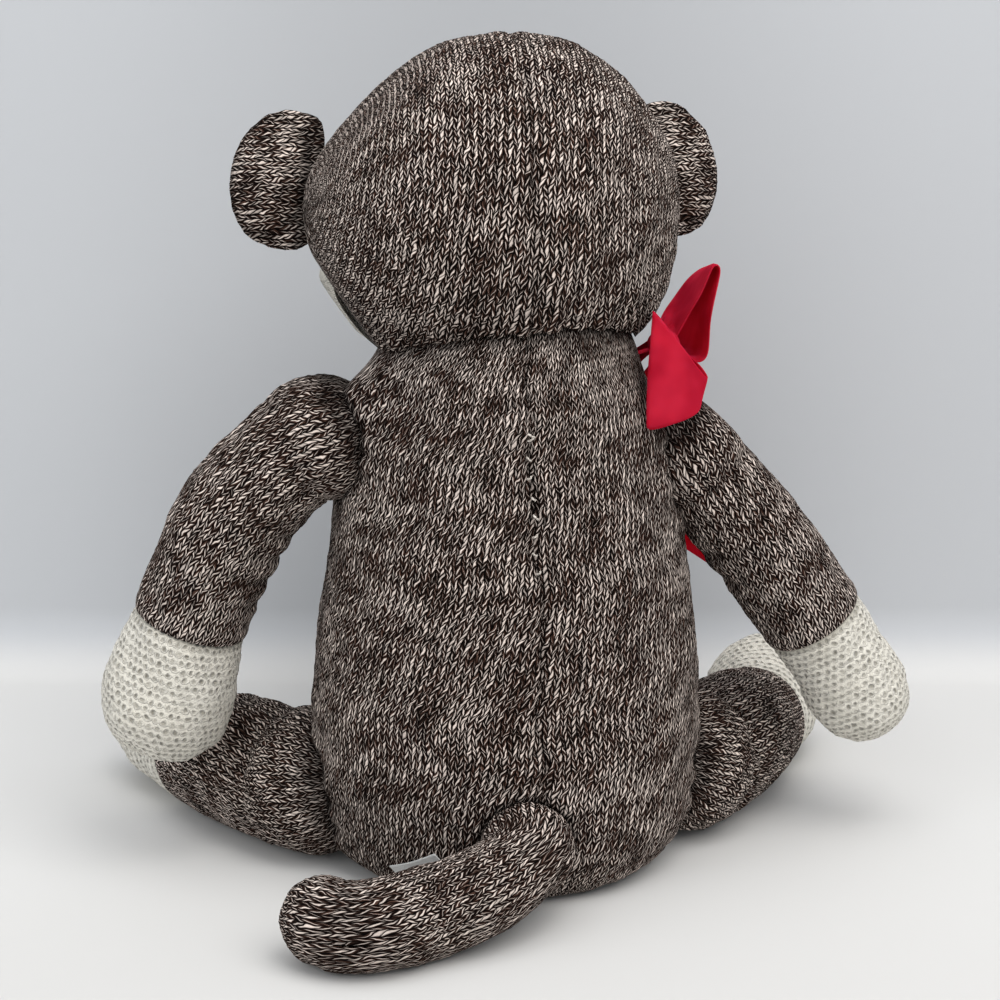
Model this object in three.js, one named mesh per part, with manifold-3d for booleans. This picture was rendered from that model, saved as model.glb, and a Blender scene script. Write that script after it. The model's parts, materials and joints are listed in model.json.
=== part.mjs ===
// A sitting sock monkey doll: marled knit covers over stuffing, cream hands, feet and muzzle, and a satin bow.
// Millimetres, +Z up. The origin is the seat's middle on the floor. The doll faces -Y, its left side is +X.
import * as THREE from 'three';
import { mergeVertices } from 'three/addons/utils/BufferGeometryUtils.js';
import Module from 'manifold-3d';

const wasm = await Module();
wasm.setup();

// Cloth, thread and clearances
const knitWall = 2.4;
const layGap = 0.3; // between pieces that touch
const fillGap = 1.2; // between a cover's inside and its stuffing's coarser skin
const seamGap = 0.4; // between a round root and the dimple or cup that it turns in
const turningHole = 7; // radius of the hole that a cover is turned and stuffed through
const floorCut = 0.5; // how deep a form is pressed flat where it lies on the floor
const fillSides = 14; // sides of the hidden stuffing in the torso, head and muzzle
const limbFillSides = 8;
const overrun = 6; // how far a cutting shape runs past what it cuts

// Torso
const torsoHalfWidth = 76.5;
const torsoHalfDepth = 58;
const torsoHeight = 212; // its top is hidden in the neck
const torsoSides = 20;
const torsoRingShares = [0, 0.012, 0.045, 0.12, 0.24, 0.4, 0.6, 0.78, 0.9, 1];
// rows: height share, half width share, half depth share, forward share of the half depth
const torsoShapeShares = [
  [0, 0.6, 0.68, -0.04],
  [0.012, 0.75, 0.82, -0.03],
  [0.045, 0.86, 0.91, -0.02],
  [0.132, 0.945, 0.98, 0],
  [0.316, 1, 1, 0.05],
  [0.505, 0.945, 0.98, 0.05],
  [0.693, 0.855, 0.94, 0.03],
  [0.825, 0.8, 0.92, 0.01],
  [0.9, 0.76, 0.89, 0],
  [0.94, 0.69, 0.82, 0],
  [1, 0.5, 0.6, 0],
];

// Neck and head. The head's own frame has its origin at the neck pivot.
const neckPivot = new THREE.Vector3(0, 0, 190);
const neckRadius = 52;
const neckHole = 24;
const headPitch = 13;
const headYaw = 3;
const headCentre = new THREE.Vector3(3, 0, 70);
const headHalfWidth = 71.5;
const headHalfDepth = 67;
const headHalfHeight = 65;
const headCrownFullness = 2; // exponent of the outline above the middle
const headJawFullness = 2.45; // exponent of the outline below the middle
const crownLean = -6; // how far the crown's peak stands to the side
const headSides = 20;
const headRings = 10;

// Muzzle, mouth, nostrils and eyes
const muzzleHalfWidth = 60;
const muzzleHalfDepth = 44;
const muzzleHalfHeight = 29;
const muzzleSides = 16;
const muzzleRows = 8;
const muzzleForwardShare = 0.84; // of the head's half depth
const muzzleDropShare = 0.4; // of the head's half height
const lipHalfWidth = 30;
const lipRise = 9;
const lipFall = 10;
const lipBow = 1.35; // how far the outline's handles reach past its rise and fall
const lipThickness = 1.8;
const mouthThread = 0.8;
const mouthSteps = 10;
const mouthThreadShare = 0.8; // of the lips' half width
const nostrilRadius = 2.4;
const nostrilSpread = 9;
const nostrilRiseShare = 0.62; // of the muzzle's half height
const eyeRadius = 7.5;
const eyeDome = 4.2;
const eyeRim = 1.2;
// rows: share of the radius, share of the rise from the rim to the dome's top
const eyeDomeShares = [[1, 0], [0.86, 0.5], [0.5, 0.9], [0, 1]];
const eyeSides = 10;
const eyeSpread = 19;
const eyeRiseShare = 0.36; // of the head's half height
const shankRadius = 2;
const shankLength = 11;
const shankGap = 0.15;
const washerRadius = 7;
const washerThickness = 1.4;

// Ears
const earReach = 30;
const earHalfHeight = 27;
const earHalfThickness = 5.4;
const earRootRadius = 4.6;
const earRootHalfHeight = 21;
const earSweep = 15; // degrees forward of straight sideways
const earRiseShare = 0.2; // of the head's half height
const earStandOff = 1.6; // from the head's side to the ear's hinge line
const earKnitWall = 1.6;
const earSides = 10;
// rows: reach share, half height share, half thickness share
const earShapeShares = [
  [0, 0.8, 0.78],
  [0.14, 0.87, 0.74],
  [0.4, 1, 1],
  [0.66, 0.9, 0.96],
  [0.86, 0.64, 0.74],
  [0.97, 0.3, 0.4],
];

// Arms: a round root in the torso's dimple, a bent knit sleeve to the wrist, then the cream hand
const armLength = 151;
const handLength = 59;
const armRadius = 22.4;
const armRootRadius = 24;
const wristBallRadius = 19.9;
const armSideGap = 1.6; // between a sleeve and the torso's side below the root
const handTip = 21;
const handSwellShare = 0.4; // of the hand's length
const armSteps = 12;
const armSides = 10;
// droop is degrees below level at the shoulder and at the hand, forward is degrees towards the front
const arms = {
  left: {
    side: 1, pivot: new THREE.Vector3(71, -2, 174), droop: [30, 74], sharpness: 3, forward: 6,
    sleeveShare: 1, handShare: 1.1,
  },
  right: {
    side: -1, pivot: new THREE.Vector3(-69, -2, 165), droop: [50, 60], sharpness: 1, forward: 3,
    sleeveShare: 0.93, handShare: 0.87,
  },
};
// rows: length share, radius share
const armShapeShares = [
  [0, 0.95],
  [0.1, 0.97],
  [0.3, 1.01],
  [0.5, 1],
  [0.7, 0.99],
];
// rows: length share of the hand, radius share of the arm
const handShapeShares = [
  [0, 0.83],
  [0.13, 0.83],
  [0.35, 0.98],
  [0.6, 1.03],
  [1, 0.98],
];

// Legs: a round root, a knit tube to the ankle, then the cream foot
const legLength = 130;
const footLength = 56;
const legRadius = 27.4;
const legRootRadius = 29.4;
const ankleBallRadius = 21;
const footRadius = 25.2;
const footTip = 24;
const legSteps = 10;
const legSides = 12;
const ankleHeightShare = 0.96; // how high the ankle's middle stays, of the leg's own
// splay is degrees outward from straight forward, at the hip and at the toes
const legs = {
  left: { side: 1, pivot: new THREE.Vector3(75, -18, 29.7), splay: [41, 2], sharpness: 0.6 },
  right: { side: -1, pivot: new THREE.Vector3(-75, -18, 29.7), splay: [46, 18], sharpness: 1.3 },
};
const legShapeShares = [
  [0, 0.93],
  [0.1, 0.96],
  [0.28, 1],
  [0.44, 0.93],
  [0.57, 0.85],
];
const footShapeShares = [
  [0, 0.76],
  [0.13, 0.77],
  [0.42, 0.97],
  [0.7, 1.04],
  [1, 1],
];

// Tail, lying on the floor behind the seat
const tailLength = 112;
const tailRadius = 16.6;
const tailRootRadius = 17.6;
const tailTip = 12;
const tailSides = 10;
const tailPivot = new THREE.Vector3(2, 60, 27);
// rows: side share and back share of the tail's length, and how far it has come down to lie on the floor
const tailRouteShares = [
  [0, 0, 0],
  [0.037, 0.095, 0.1],
  [0.169, 0.174, 0.55],
  [0.369, 0.247, 0.95],
  [0.548, 0.316, 1],
  [0.665, 0.295, 1],
  [0.735, 0.215, 1],
  [0.765, 0.15, 1],
];
// rows: length share, radius share
const tailShapeShares = [
  [0, 0.9],
  [0.08, 0.91],
  [0.3, 1],
  [0.7, 1],
  [1, 0.97],
];

// Anchor knots of the threads that tie the head, limbs and tail on
const knotRadius = 3.2;
const threadChannel = 1.2;

// Ribbon bow, tacked to the right side of the neck. Its loops and tails are strips between two edges.
const ribbonThickness = 1;
const ribbonSteps = 15;
const bowKnot = new THREE.Vector3(-62, -8, 204);
const knotHalfWidth = 6;
const knotHalfDepth = 7;
const knotHalfHeight = 6;
const bowReach = 100; // the scale of the tables below, whose rows place a strip's two edges from the knot
const backLoopShares = [
  [[-0.01, 0.03, 0.02], [-0.01, 0.03, -0.02]],
  [[-0.01, 0.12, 0.06], [0, 0.13, -0.03]],
  [[0.05, 0.24, 0.13], [0.06, 0.3, -0.12]],
  [[0.12, 0.34, 0.2], [0.153, 0.435, -0.22]],
  [[0.03, 0.37, 0.09], [0.04, 0.42, -0.21]],
  [[-0.06, 0.34, -0.02], [-0.05, 0.37, -0.18]],
  [[-0.1, 0.3, -0.065], [-0.08, 0.31, -0.13]],
  [[-0.09, 0.22, -0.03], [-0.08, 0.22, -0.09]],
  [[-0.05, 0.1, 0.01], [-0.05, 0.11, -0.05]],
  [[-0.02, 0.03, 0.01], [-0.02, 0.03, -0.03]],
];
const frontLoopShares = [
  [[-0.01, 0, 0.03], [-0.02, -0.06, 0.02]],
  [[0, -0.03, 0.075], [-0.07, -0.22, 0.01]],
  [[-0.02, -0.04, 0.13], [-0.15, -0.42, -0.02]],
  [[-0.1, -0.04, 0.24], [-0.207, -0.42, 0.1]],
  [[-0.2, -0.04, 0.3], [-0.28, -0.42, 0.195]],
  [[-0.225, -0.04, 0.27], [-0.295, -0.42, 0.17]],
  [[-0.196, -0.04, 0.085], [-0.27, -0.42, 0.01]],
  [[-0.176, -0.04, -0.06], [-0.25, -0.42, -0.12]],
  [[-0.1, -0.045, -0.07], [-0.14, -0.26, -0.12]],
  [[-0.03, -0.03, -0.03], [-0.04, -0.07, -0.04]],
];
const outerTailShares = [
  [[-0.03, -0.04, -0.05], [0.03, -0.04, -0.05]],
  [[-0.08, -0.16, -0.14], [0.04, -0.2, -0.15]],
  [[-0.14, -0.32, -0.26], [0.1, -0.4, -0.26]],
  [[-0.2, -0.42, -0.5], [0.08, -0.54, -0.48]],
  [[-0.31, -0.52, -0.97], [-0.12, -0.66, -0.82]],
];
const innerTailShares = [
  [[0.04, -0.03, -0.03], [0.04, -0.03, 0.02]],
  [[0.07, -0.2, -0.13], [0.09, -0.22, -0.07]],
  [[0.14, -0.36, -0.3], [0.27, -0.42, -0.22]],
  [[0.18, -0.48, -0.55], [0.4, -0.54, -0.48]],
  [[0.24, -0.54, -0.88], [0.46, -0.6, -0.76]],
];

// Back seam closing stitches and the care label
const seamThread = 0.8;
const seamWander = 1.6;
const seamStitches = 9;
const seamHeightShares = [0.62, 0.86]; // where the closing stitches start and end, of the torso's height
const labelWidth = 24;
const labelLength = 20;
const labelThickness = 0.6;
const labelPlace = new THREE.Vector3(39.6, 47.4, 17);
const labelTilt = 25; // degrees that its top leans away from the body
const labelTurn = 28; // degrees round the body from straight behind

// Finishes from the photograph
const finish = (color, roughness, metalness = 0) => ({ color, roughness, metalness });
const marlKnit = finish('#5f524b', 0.95);
const creamKnit = finish('#e6e2d8', 0.95);
const fibreFill = finish('#f2f2ee', 1);
const redSatin = finish('#b3122a', 0.35);
const redKnit = finish('#a3202c', 0.9);
const blackGloss = finish('#08080a', 0.12);
const darkThread = finish('#241a18', 0.8);
const paleThread = finish('#c9bfb2', 0.8);
const whiteTape = finish('#f4f3f0', 0.7);
const clearPlastic = finish('#d8dade', 0.4);

// Small tools
const point = (x, y, z) => new THREE.Vector3(x, y, z);
const radians = degrees => THREE.MathUtils.degToRad(degrees);
const origin = point(0, 0, 0);
const up = point(0, 0, 1);

// A smooth reading of a short table with rows [place share, value shares ...], held level past its last row.
function smooth(shares) {
  const places = shares.map(row => row[0]);
  const values = shares.flatMap(row => row.slice(1));
  const curve = new THREE.CubicInterpolant(places, values, shares[0].length - 1);
  return place => [...curve.evaluate(Math.min(place, places.at(-1)))];
}

// A closed skin through rings of points, with one point closing each end.
function closedLoft(rings, start, end) {
  const sides = rings[0].length;
  const points = [...rings.flat(), start, end];
  const first = points.length - 2;
  const last = points.length - 1;
  const lastRing = first - sides;
  const faces = [];
  for (let side = 0; side < sides; side += 1) {
    const next = (side + 1) % sides;
    for (let ring = 0; ring < lastRing; ring += sides) {
      const far = ring + sides;
      faces.push(ring + side, ring + next, far + next, ring + side, far + next, far + side);
    }
    faces.push(first, next, side, last, lastRing + side, lastRing + next);
  }
  let volume = 0;
  for (let face = 0; face < faces.length; face += 3) {
    const [a, b, c] = faces.slice(face, face + 3).map(index => points[index]);
    volume += a.dot(b.clone().cross(c));
  }
  if (volume < 0) {
    faces.reverse();
  }
  const geometry = new THREE.BufferGeometry().setFromPoints(points);
  geometry.setIndex(faces);
  return geometry;
}

function solidOf(geometry) {
  const bare = geometry.clone();
  bare.deleteAttribute('normal');
  bare.deleteAttribute('uv');
  const merged = mergeVertices(bare);
  return new wasm.Manifold(new wasm.Mesh({
    numProp: 3,
    vertProperties: new Float32Array(merged.attributes.position.array),
    triVerts: new Uint32Array(merged.index.array),
  }));
}

function geometryOf(solid) {
  const mesh = solid.getMesh();
  const geometry = new THREE.BufferGeometry();
  const places = [];
  for (let vertex = 0; vertex < mesh.vertProperties.length; vertex += mesh.numProp) {
    places.push(...mesh.vertProperties.slice(vertex, vertex + 3));
  }
  geometry.setAttribute('position', new THREE.Float32BufferAttribute(places, 3));
  geometry.setIndex([...mesh.triVerts]);
  geometry.computeVertexNormals();
  return geometry;
}

const cutBy = (solid, cutters) => cutters.reduce((rest, cutter) => rest.subtract(cutter), solid);

// How finely balls are made
const dimple = { sides: 12, rows: 8 };
const hiddenDimple = { sides: 10, rows: 6 };
const headRecess = { sides: headSides, rows: 10 };
const hiddenRecess = { sides: 14, rows: 8 };
const limbCup = { sides: 16, rows: 12 };
const small = { sides: 6, rows: 4 };
const neckRows = 8;

// A ball whose corners lie on its radius, and a cutting ball whose faces stay outside that radius.
function ball(centre, radius, { sides, rows }) {
  return solidOf(new THREE.SphereGeometry(radius, sides, rows).rotateX(Math.PI / 2).translate(...centre));
}

function ballCutter(centre, radius, { sides, rows }) {
  const faceShare = Math.cos(Math.PI / sides) * Math.cos(Math.PI / rows / 2);
  return ball(centre, radius / faceShare, { sides, rows });
}

// A round bar from one point to another.
function bar(from, to, radius, sides = 10) {
  const along = to.clone().sub(from);
  const turned = new THREE.Quaternion().setFromUnitVectors(point(0, 1, 0), along.clone().normalize());
  const geometry = new THREE.CylinderGeometry(radius, radius, along.length(), sides);
  geometry.applyQuaternion(turned).translate(...from.clone().add(to).multiplyScalar(0.5));
  return solidOf(geometry);
}

// The room under the floor, seen from a frame whose origin is at the given height.
function underFloor(height) {
  const room = torsoHeight * 3;
  return solidOf(new THREE.BoxGeometry(room, room, room).translate(0, 0, -height - room / 2));
}

// Where a distance along a route lies, carried straight on past both ends.
function placesAlong(route) {
  const length = route.getLength();
  return distance => {
    const share = THREE.MathUtils.clamp(distance / length, 0, 1);
    const along = route.getTangentAt(share);
    return { along, middle: route.getPointAt(share).addScaledVector(along, distance - share * length) };
  };
}

// Rings square to a middle line. Each station is [distance, radius].
function loftAlong({ place, stations, from, to, sides, lead = up }) {
  const rings = stations.map(([distance, radius]) => {
    const { along, middle } = place(distance);
    const across = lead.clone().cross(along).normalize();
    const over = along.clone().cross(across);
    return Array.from({ length: sides }, (_, side) => {
      const angle = side / sides * 2 * Math.PI;
      const spoke = across.clone().multiplyScalar(radius * Math.cos(angle));
      return middle.clone().add(spoke).addScaledVector(over, radius * Math.sin(angle));
    });
  });
  return solidOf(closedLoft(rings, place(from).middle, place(to).middle));
}

// A stuffed piece: a ball for a root, drawn in to a tube, whose far end is rounded over `tip` or left square.
const rootRings = 4;
const tipRings = 3;

function stuffedPiece({ place, at, root, girth, length, tip = 0, tubeRings, sides, lead, inset }) {
  const rootRadius = root - inset;
  const waist = Math.PI - Math.asin((girth(0) - inset) / rootRadius);
  const stations = [];
  for (let ring = 1; ring <= rootRings; ring += 1) {
    const angle = waist * ring / rootRings;
    stations.push([at - rootRadius * Math.cos(angle), rootRadius * Math.sin(angle)]);
  }
  const tubeStart = stations.at(-1)[0] - at;
  const tubeEnd = length - tip;
  for (let ring = 1; ring <= tubeRings; ring += 1) {
    const distance = tubeStart + (tubeEnd - tubeStart) * ring / tubeRings;
    stations.push([at + distance, girth(distance) - inset]);
  }
  const tipReach = tip > 0 ? tip - inset : 0;
  for (let ring = 1; ring <= tipRings && tip > 0; ring += 1) {
    const angle = ring / (tipRings + 1) * Math.PI / 2;
    stations.push([at + tubeEnd + tipReach * Math.sin(angle), (girth(tubeEnd) - inset) * Math.cos(angle)]);
  }
  return loftAlong({ place, stations, from: at - rootRadius, to: at + tubeEnd + tipReach, sides, lead });
}

// The doll, filled piece by piece. Groups stand at the pivots.
const doll = new THREE.Group();

function addPiece(group, name, shape, look) {
  const geometry = shape.isBufferGeometry ? shape : geometryOf(shape);
  const mesh = new THREE.Mesh(geometry, new THREE.MeshStandardMaterial(look));
  mesh.name = name;
  group.add(mesh);
  return mesh;
}

function pivotGroup(pivot) {
  const group = new THREE.Group();
  group.position.copy(pivot);
  doll.add(group);
  return group;
}

function addAnchorKnot(group, name) {
  addPiece(group, name, ball(origin, knotRadius, small), paleThread);
}

// The room that an anchor knot and its thread need, the thread leaving towards `exit`.
function knotRoom(centre, exit) {
  return [
    ballCutter(centre, knotRadius + layGap, small),
    bar(centre, exit, threadChannel, small.sides),
  ];
}

// How far inside a cover's outer skin its inner skin and its stuffing lie
const coverInside = knitWall;
const fillInside = knitWall + fillGap;

// Every root that turns in a dimple of the torso
const torsoRoots = [
  { pivot: arms.left.pivot, radius: armRootRadius },
  { pivot: arms.right.pivot, radius: armRootRadius },
  { pivot: legs.left.pivot, radius: legRootRadius },
  { pivot: legs.right.pivot, radius: legRootRadius },
  { pivot: tailPivot, radius: tailRootRadius },
];

const torsoShape = smooth(torsoShapeShares);

function torsoSolid(inset, sides = torsoSides, dimpleInset = inset) {
  const rings = torsoRingShares.map(share => {
    const [width, depth, forward] = torsoShape(share);
    const height = inset + (torsoHeight - 2 * inset) * share;
    return Array.from({ length: sides }, (_, side) => {
      const angle = side / sides * 2 * Math.PI;
      const x = (torsoHalfWidth * width - inset) * Math.cos(angle);
      const y = (torsoHalfDepth * depth - inset) * Math.sin(angle) - torsoHalfDepth * forward;
      return point(x, y, height);
    });
  });
  const bottom = rings[0][0].z;
  const top = rings.at(-1)[0].z;
  const torso = solidOf(closedLoft(rings, point(0, 0, bottom), point(0, 0, top)));
  const detail = inset > 0 ? hiddenDimple : dimple;
  const dimples = torsoRoots.map(({ pivot, radius }) => {
    return ballCutter(pivot, radius + seamGap + dimpleInset, detail);
  });
  const neckDetail = { sides, rows: inset > 0 ? hiddenDimple.rows : neckRows };
  return cutBy(torso.add(ball(neckPivot, neckRadius - inset, neckDetail)), dimples);
}

function addTorso() {
  const neckTop = neckPivot.clone().setZ(neckPivot.z + neckRadius + overrun);
  const neckOpening = bar(neckPivot, neckTop, neckHole, 16);
  const cover = cutBy(torsoSolid(0), [torsoSolid(coverInside), neckOpening]);
  addPiece(doll, 'body_cover', cover, marlKnit);
  const filling = cutBy(torsoSolid(fillInside, fillSides), knotRoom(neckPivot, neckTop));
  addPiece(doll, 'body_stuffing', filling, fibreFill);
  addAnchorKnot(pivotGroup(neckPivot), 'neck_anchor_knot');
}

// The back of the torso on its middle line, at a share of its height.
function torsoBack(share) {
  const [, depth, forward] = torsoShape(share);
  return point(0, torsoHalfDepth * (depth - forward), torsoHeight * share);
}

function addBackSeam() {
  const [low, high] = seamHeightShares;
  const places = Array.from({ length: 2 * seamStitches + 1 }, (_, stitch) => {
    const place = torsoBack(low + (high - low) * stitch / seamStitches / 2);
    return place.add(point(seamWander * (stitch % 2 ? 1 : -1), seamThread + layGap, 0));
  });
  const route = new THREE.CatmullRomCurve3(places);
  const length = route.getLength();
  const stations = places.map((_, index) => [length * index / (places.length - 1), seamThread]);
  const stitches = loftAlong({
    place: placesAlong(route), stations, from: 0, to: length, sides: 5, lead: point(0, 1, 0),
  });
  addPiece(doll, 'back_seam_stitches', stitches, paleThread);
}

// The head's outline is fuller below its middle than above it, and its crown leans to one side.
function headRing(share) {
  const fullness = share < 0 ? headJawFullness : headCrownFullness;
  return (1 - Math.abs(share) ** fullness) ** (1 / fullness);
}

function headMiddle(share) {
  return point(crownLean * Math.max(0, share) ** 2, 0, 0).add(headCentre);
}

function headSolid(inset, sides = headSides) {
  const height = headHalfHeight - inset;
  const rings = Array.from({ length: headRings - 1 }, (_, ring) => {
    const share = -Math.cos((ring + 1) / headRings * Math.PI);
    const width = headRing(share);
    return Array.from({ length: sides }, (__, side) => {
      const angle = side / sides * 2 * Math.PI;
      const x = (headHalfWidth * width - inset) * Math.cos(angle);
      const y = (headHalfDepth * width - inset) * Math.sin(angle);
      return point(x, y, height * share).add(headMiddle(share));
    });
  });
  const bottom = point(0, 0, -height).add(headMiddle(-1));
  const top = point(0, 0, height).add(headMiddle(1));
  const recess = ballCutter(origin, neckRadius + seamGap + inset, inset > 0 ? hiddenRecess : headRecess);
  return solidOf(closedLoft(rings, bottom, top)).subtract(recess);
}

// A point on the front of the head's skin above its middle, and the way that the skin faces there.
function headFront(x, rise) {
  const y = -headHalfDepth * Math.sqrt(1 - (x / headHalfWidth) ** 2 - (rise / headHalfHeight) ** 2);
  const facing = point(x / headHalfWidth ** 2, y / headHalfDepth ** 2, rise / headHalfHeight ** 2);
  facing.normalize();
  return { place: point(x, y, rise).add(headMiddle(rise / headHalfHeight)), facing };
}

const headGroup = pivotGroup(neckPivot);
headGroup.rotation.set(radians(headPitch), 0, radians(headYaw), 'ZYX');

const muzzleCentre = headCentre.clone().add(
  point(0, -headHalfDepth * muzzleForwardShare, -headHalfHeight * muzzleDropShare));

function muzzleSolid(inset, sides = muzzleSides) {
  const geometry = new THREE.SphereGeometry(1, sides, muzzleRows).rotateX(Math.PI / 2);
  geometry.scale(muzzleHalfWidth - inset, muzzleHalfDepth - inset, muzzleHalfHeight - inset);
  return solidOf(geometry.translate(...muzzleCentre));
}

// A point in front of the muzzle's skin, seen from the front.
function muzzleFront(x, z, over) {
  const wide = (x / (muzzleHalfWidth + over)) ** 2;
  const tall = (z / (muzzleHalfHeight + over)) ** 2;
  return point(x, -(muzzleHalfDepth + over) * Math.sqrt(1 - wide - tall), z).add(muzzleCentre);
}

function addMuzzle() {
  const clearance = [headSolid(-layGap), ballCutter(origin, neckRadius + seamGap, headRecess)];
  const skin = cutBy(muzzleSolid(0), [muzzleSolid(coverInside), ...clearance]);
  addPiece(headGroup, 'muzzle_cover', skin, creamKnit);
  const filling = cutBy(muzzleSolid(fillInside, fillSides), clearance);
  addPiece(headGroup, 'muzzle_stuffing', filling, fibreFill);

  const outline = new THREE.Shape();
  const rise = lipRise * lipBow;
  const fall = lipFall * lipBow;
  outline.moveTo(-lipHalfWidth, 0);
  outline.bezierCurveTo(-lipHalfWidth / 2, rise, lipHalfWidth / 2, rise, lipHalfWidth, 0);
  outline.bezierCurveTo(lipHalfWidth / 2, -fall, -lipHalfWidth / 2, -fall, -lipHalfWidth, 0);
  const reach = { depth: muzzleHalfDepth * 2, bevelEnabled: false, curveSegments: 8 };
  const lipBlock = new THREE.ExtrudeGeometry(outline, reach).rotateX(Math.PI / 2).translate(...muzzleCentre);
  const lipSkin = muzzleSolid(-layGap - lipThickness).subtract(muzzleSolid(-layGap));
  addPiece(headGroup, 'lips', lipSkin.intersect(solidOf(lipBlock)), redKnit);

  const threadLift = 2 * layGap + lipThickness + mouthThread;
  const places = Array.from({ length: mouthSteps + 1 }, (_, step) => {
    const x = lipHalfWidth * mouthThreadShare * (2 * step / mouthSteps - 1);
    return muzzleFront(x, 0, threadLift);
  });
  const route = new THREE.CatmullRomCurve3(places);
  const length = route.getLength();
  const stations = places.map((_, step) => [length * step / mouthSteps, mouthThread]);
  const mouth = loftAlong({ place: placesAlong(route), stations, from: 0, to: length, sides: 5 });
  addPiece(headGroup, 'mouth_stitch', mouth, darkThread);

  for (const [name, side] of [['nostril_left', 1], ['nostril_right', -1]]) {
    const place = muzzleFront(side * nostrilSpread, muzzleHalfHeight * nostrilRiseShare, layGap);
    addPiece(headGroup, name, ball(place, nostrilRadius, small).subtract(muzzleSolid(-layGap)), darkThread);
  }
}

const washerDepth = knitWall + fillGap + 3 * layGap;

function addEyes() {
  const domeRise = eyeDome - eyeRim;
  const dome = eyeDomeShares.map(([across, rise]) => [eyeRadius * across, eyeRim + domeRise * rise]);
  const profile = [
    [0, -shankLength], [shankRadius, -shankLength], [shankRadius, 0], [eyeRadius, 0], ...dome,
  ];
  const eyeShape = profile.map(([across, along]) => new THREE.Vector2(across, along));
  const washerShape = [
    [shankRadius + shankGap, 0], [washerRadius, 0], [washerRadius, washerThickness],
    [shankRadius + shankGap, washerThickness], [shankRadius + shankGap, 0],
  ].map(([across, along]) => new THREE.Vector2(across, along));
  for (const [name, side] of [['left', 1], ['right', -1]]) {
    const { place, facing } = headFront(side * eyeSpread, headHalfHeight * eyeRiseShare);
    const turned = new THREE.Quaternion().setFromUnitVectors(point(0, 1, 0), facing);
    const seated = (geometry, lift) => {
      const seat = place.clone().addScaledVector(facing, lift);
      return geometry.applyQuaternion(turned).translate(...seat);
    };
    const eye = seated(new THREE.LatheGeometry(eyeShape, eyeSides), layGap);
    addPiece(headGroup, `eye_${name}`, solidOf(eye), blackGloss);
    const washer = seated(new THREE.LatheGeometry(washerShape, eyeSides), -washerDepth - washerThickness);
    addPiece(headGroup, `eye_washer_${name}`, solidOf(washer), clearPlastic);
  }
}

// What the eyes' shanks and washers take out of the head.
function eyeRooms() {
  const rooms = { shanks: [], washers: [] };
  for (const side of [1, -1]) {
    const { place, facing } = headFront(side * eyeSpread, headHalfHeight * eyeRiseShare);
    const along = distance => place.clone().addScaledVector(facing, distance);
    const washerEnd = along(-washerDepth - washerThickness - layGap);
    rooms.shanks.push(bar(along(overrun), along(-shankLength - layGap), shankRadius + layGap, eyeSides));
    rooms.washers.push(bar(along(overrun), washerEnd, washerRadius + 2 * layGap, eyeSides));
  }
  return rooms;
}

// Ear frames stand on their hinge lines, with X pointing out of the head.
const ears = [['left', 1], ['right', -1]].map(([name, side]) => {
  const sweep = radians(earSweep);
  const width = headRing(earRiseShare);
  const out = 1 / Math.hypot(Math.cos(sweep) / headHalfWidth, Math.sin(sweep) / headHalfDepth);
  const reach = out * width + earStandOff;
  const rise = headHalfHeight * earRiseShare;
  const hinge = point(side * reach * Math.cos(sweep), -reach * Math.sin(sweep), rise);
  hinge.add(headMiddle(earRiseShare));
  return { name, side, sweep, hinge };
});

function earGrooves(inset) {
  const half = point(0, 0, earRootHalfHeight + seamGap + inset);
  const radius = (earRootRadius + seamGap + inset) / Math.cos(Math.PI / earSides);
  return ears.map(({ hinge }) => bar(hinge.clone().sub(half), hinge.clone().add(half), radius, earSides));
}

const earShape = smooth(earShapeShares);

function earSolid(inset) {
  const rings = earShapeShares.map(([share]) => {
    const [height, thickness] = earShape(share);
    return Array.from({ length: earSides }, (_, side) => {
      const angle = side / earSides * 2 * Math.PI;
      const y = (earHalfThickness * thickness - inset) * Math.sin(angle);
      const z = (earHalfHeight * height - inset) * Math.cos(angle);
      return point(share * (earReach - inset), y, z);
    });
  });
  const blade = solidOf(closedLoft(rings, origin, point(earReach - inset, 0, 0)));
  const half = point(0, 0, earRootHalfHeight - inset);
  return blade.add(bar(half.clone().negate(), half, earRootRadius - inset, earSides));
}

function addEars() {
  for (const { name, side, sweep, hinge } of ears) {
    const group = new THREE.Group();
    group.position.copy(hinge);
    group.rotation.z = side > 0 ? -sweep : Math.PI + sweep;
    headGroup.add(group);
    const opening = bar(origin, point(-earRootRadius - overrun, 0, 0), earRootRadius / 2, small.sides);
    const cover = cutBy(earSolid(0), [earSolid(earKnitWall), opening]);
    addPiece(group, `ear_cover_${name}`, cover, marlKnit);
    addPiece(group, `ear_batting_${name}`, earSolid(earKnitWall + layGap), fibreFill);
  }
}

function addHead() {
  const { shanks, washers } = eyeRooms();
  const opening = bar(origin, point(0, 0, neckRadius + knitWall + overrun), neckHole, 16);
  const outside = cutBy(headSolid(0), earGrooves(0));
  const inside = cutBy(headSolid(coverInside), earGrooves(coverInside));
  addPiece(headGroup, 'head_cover', cutBy(outside, [inside, opening, ...shanks]), marlKnit);
  const filling = cutBy(headSolid(fillInside, fillSides), earGrooves(fillInside));
  addPiece(headGroup, 'head_stuffing', cutBy(filling, [...shanks, ...washers]), fibreFill);
}

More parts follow.
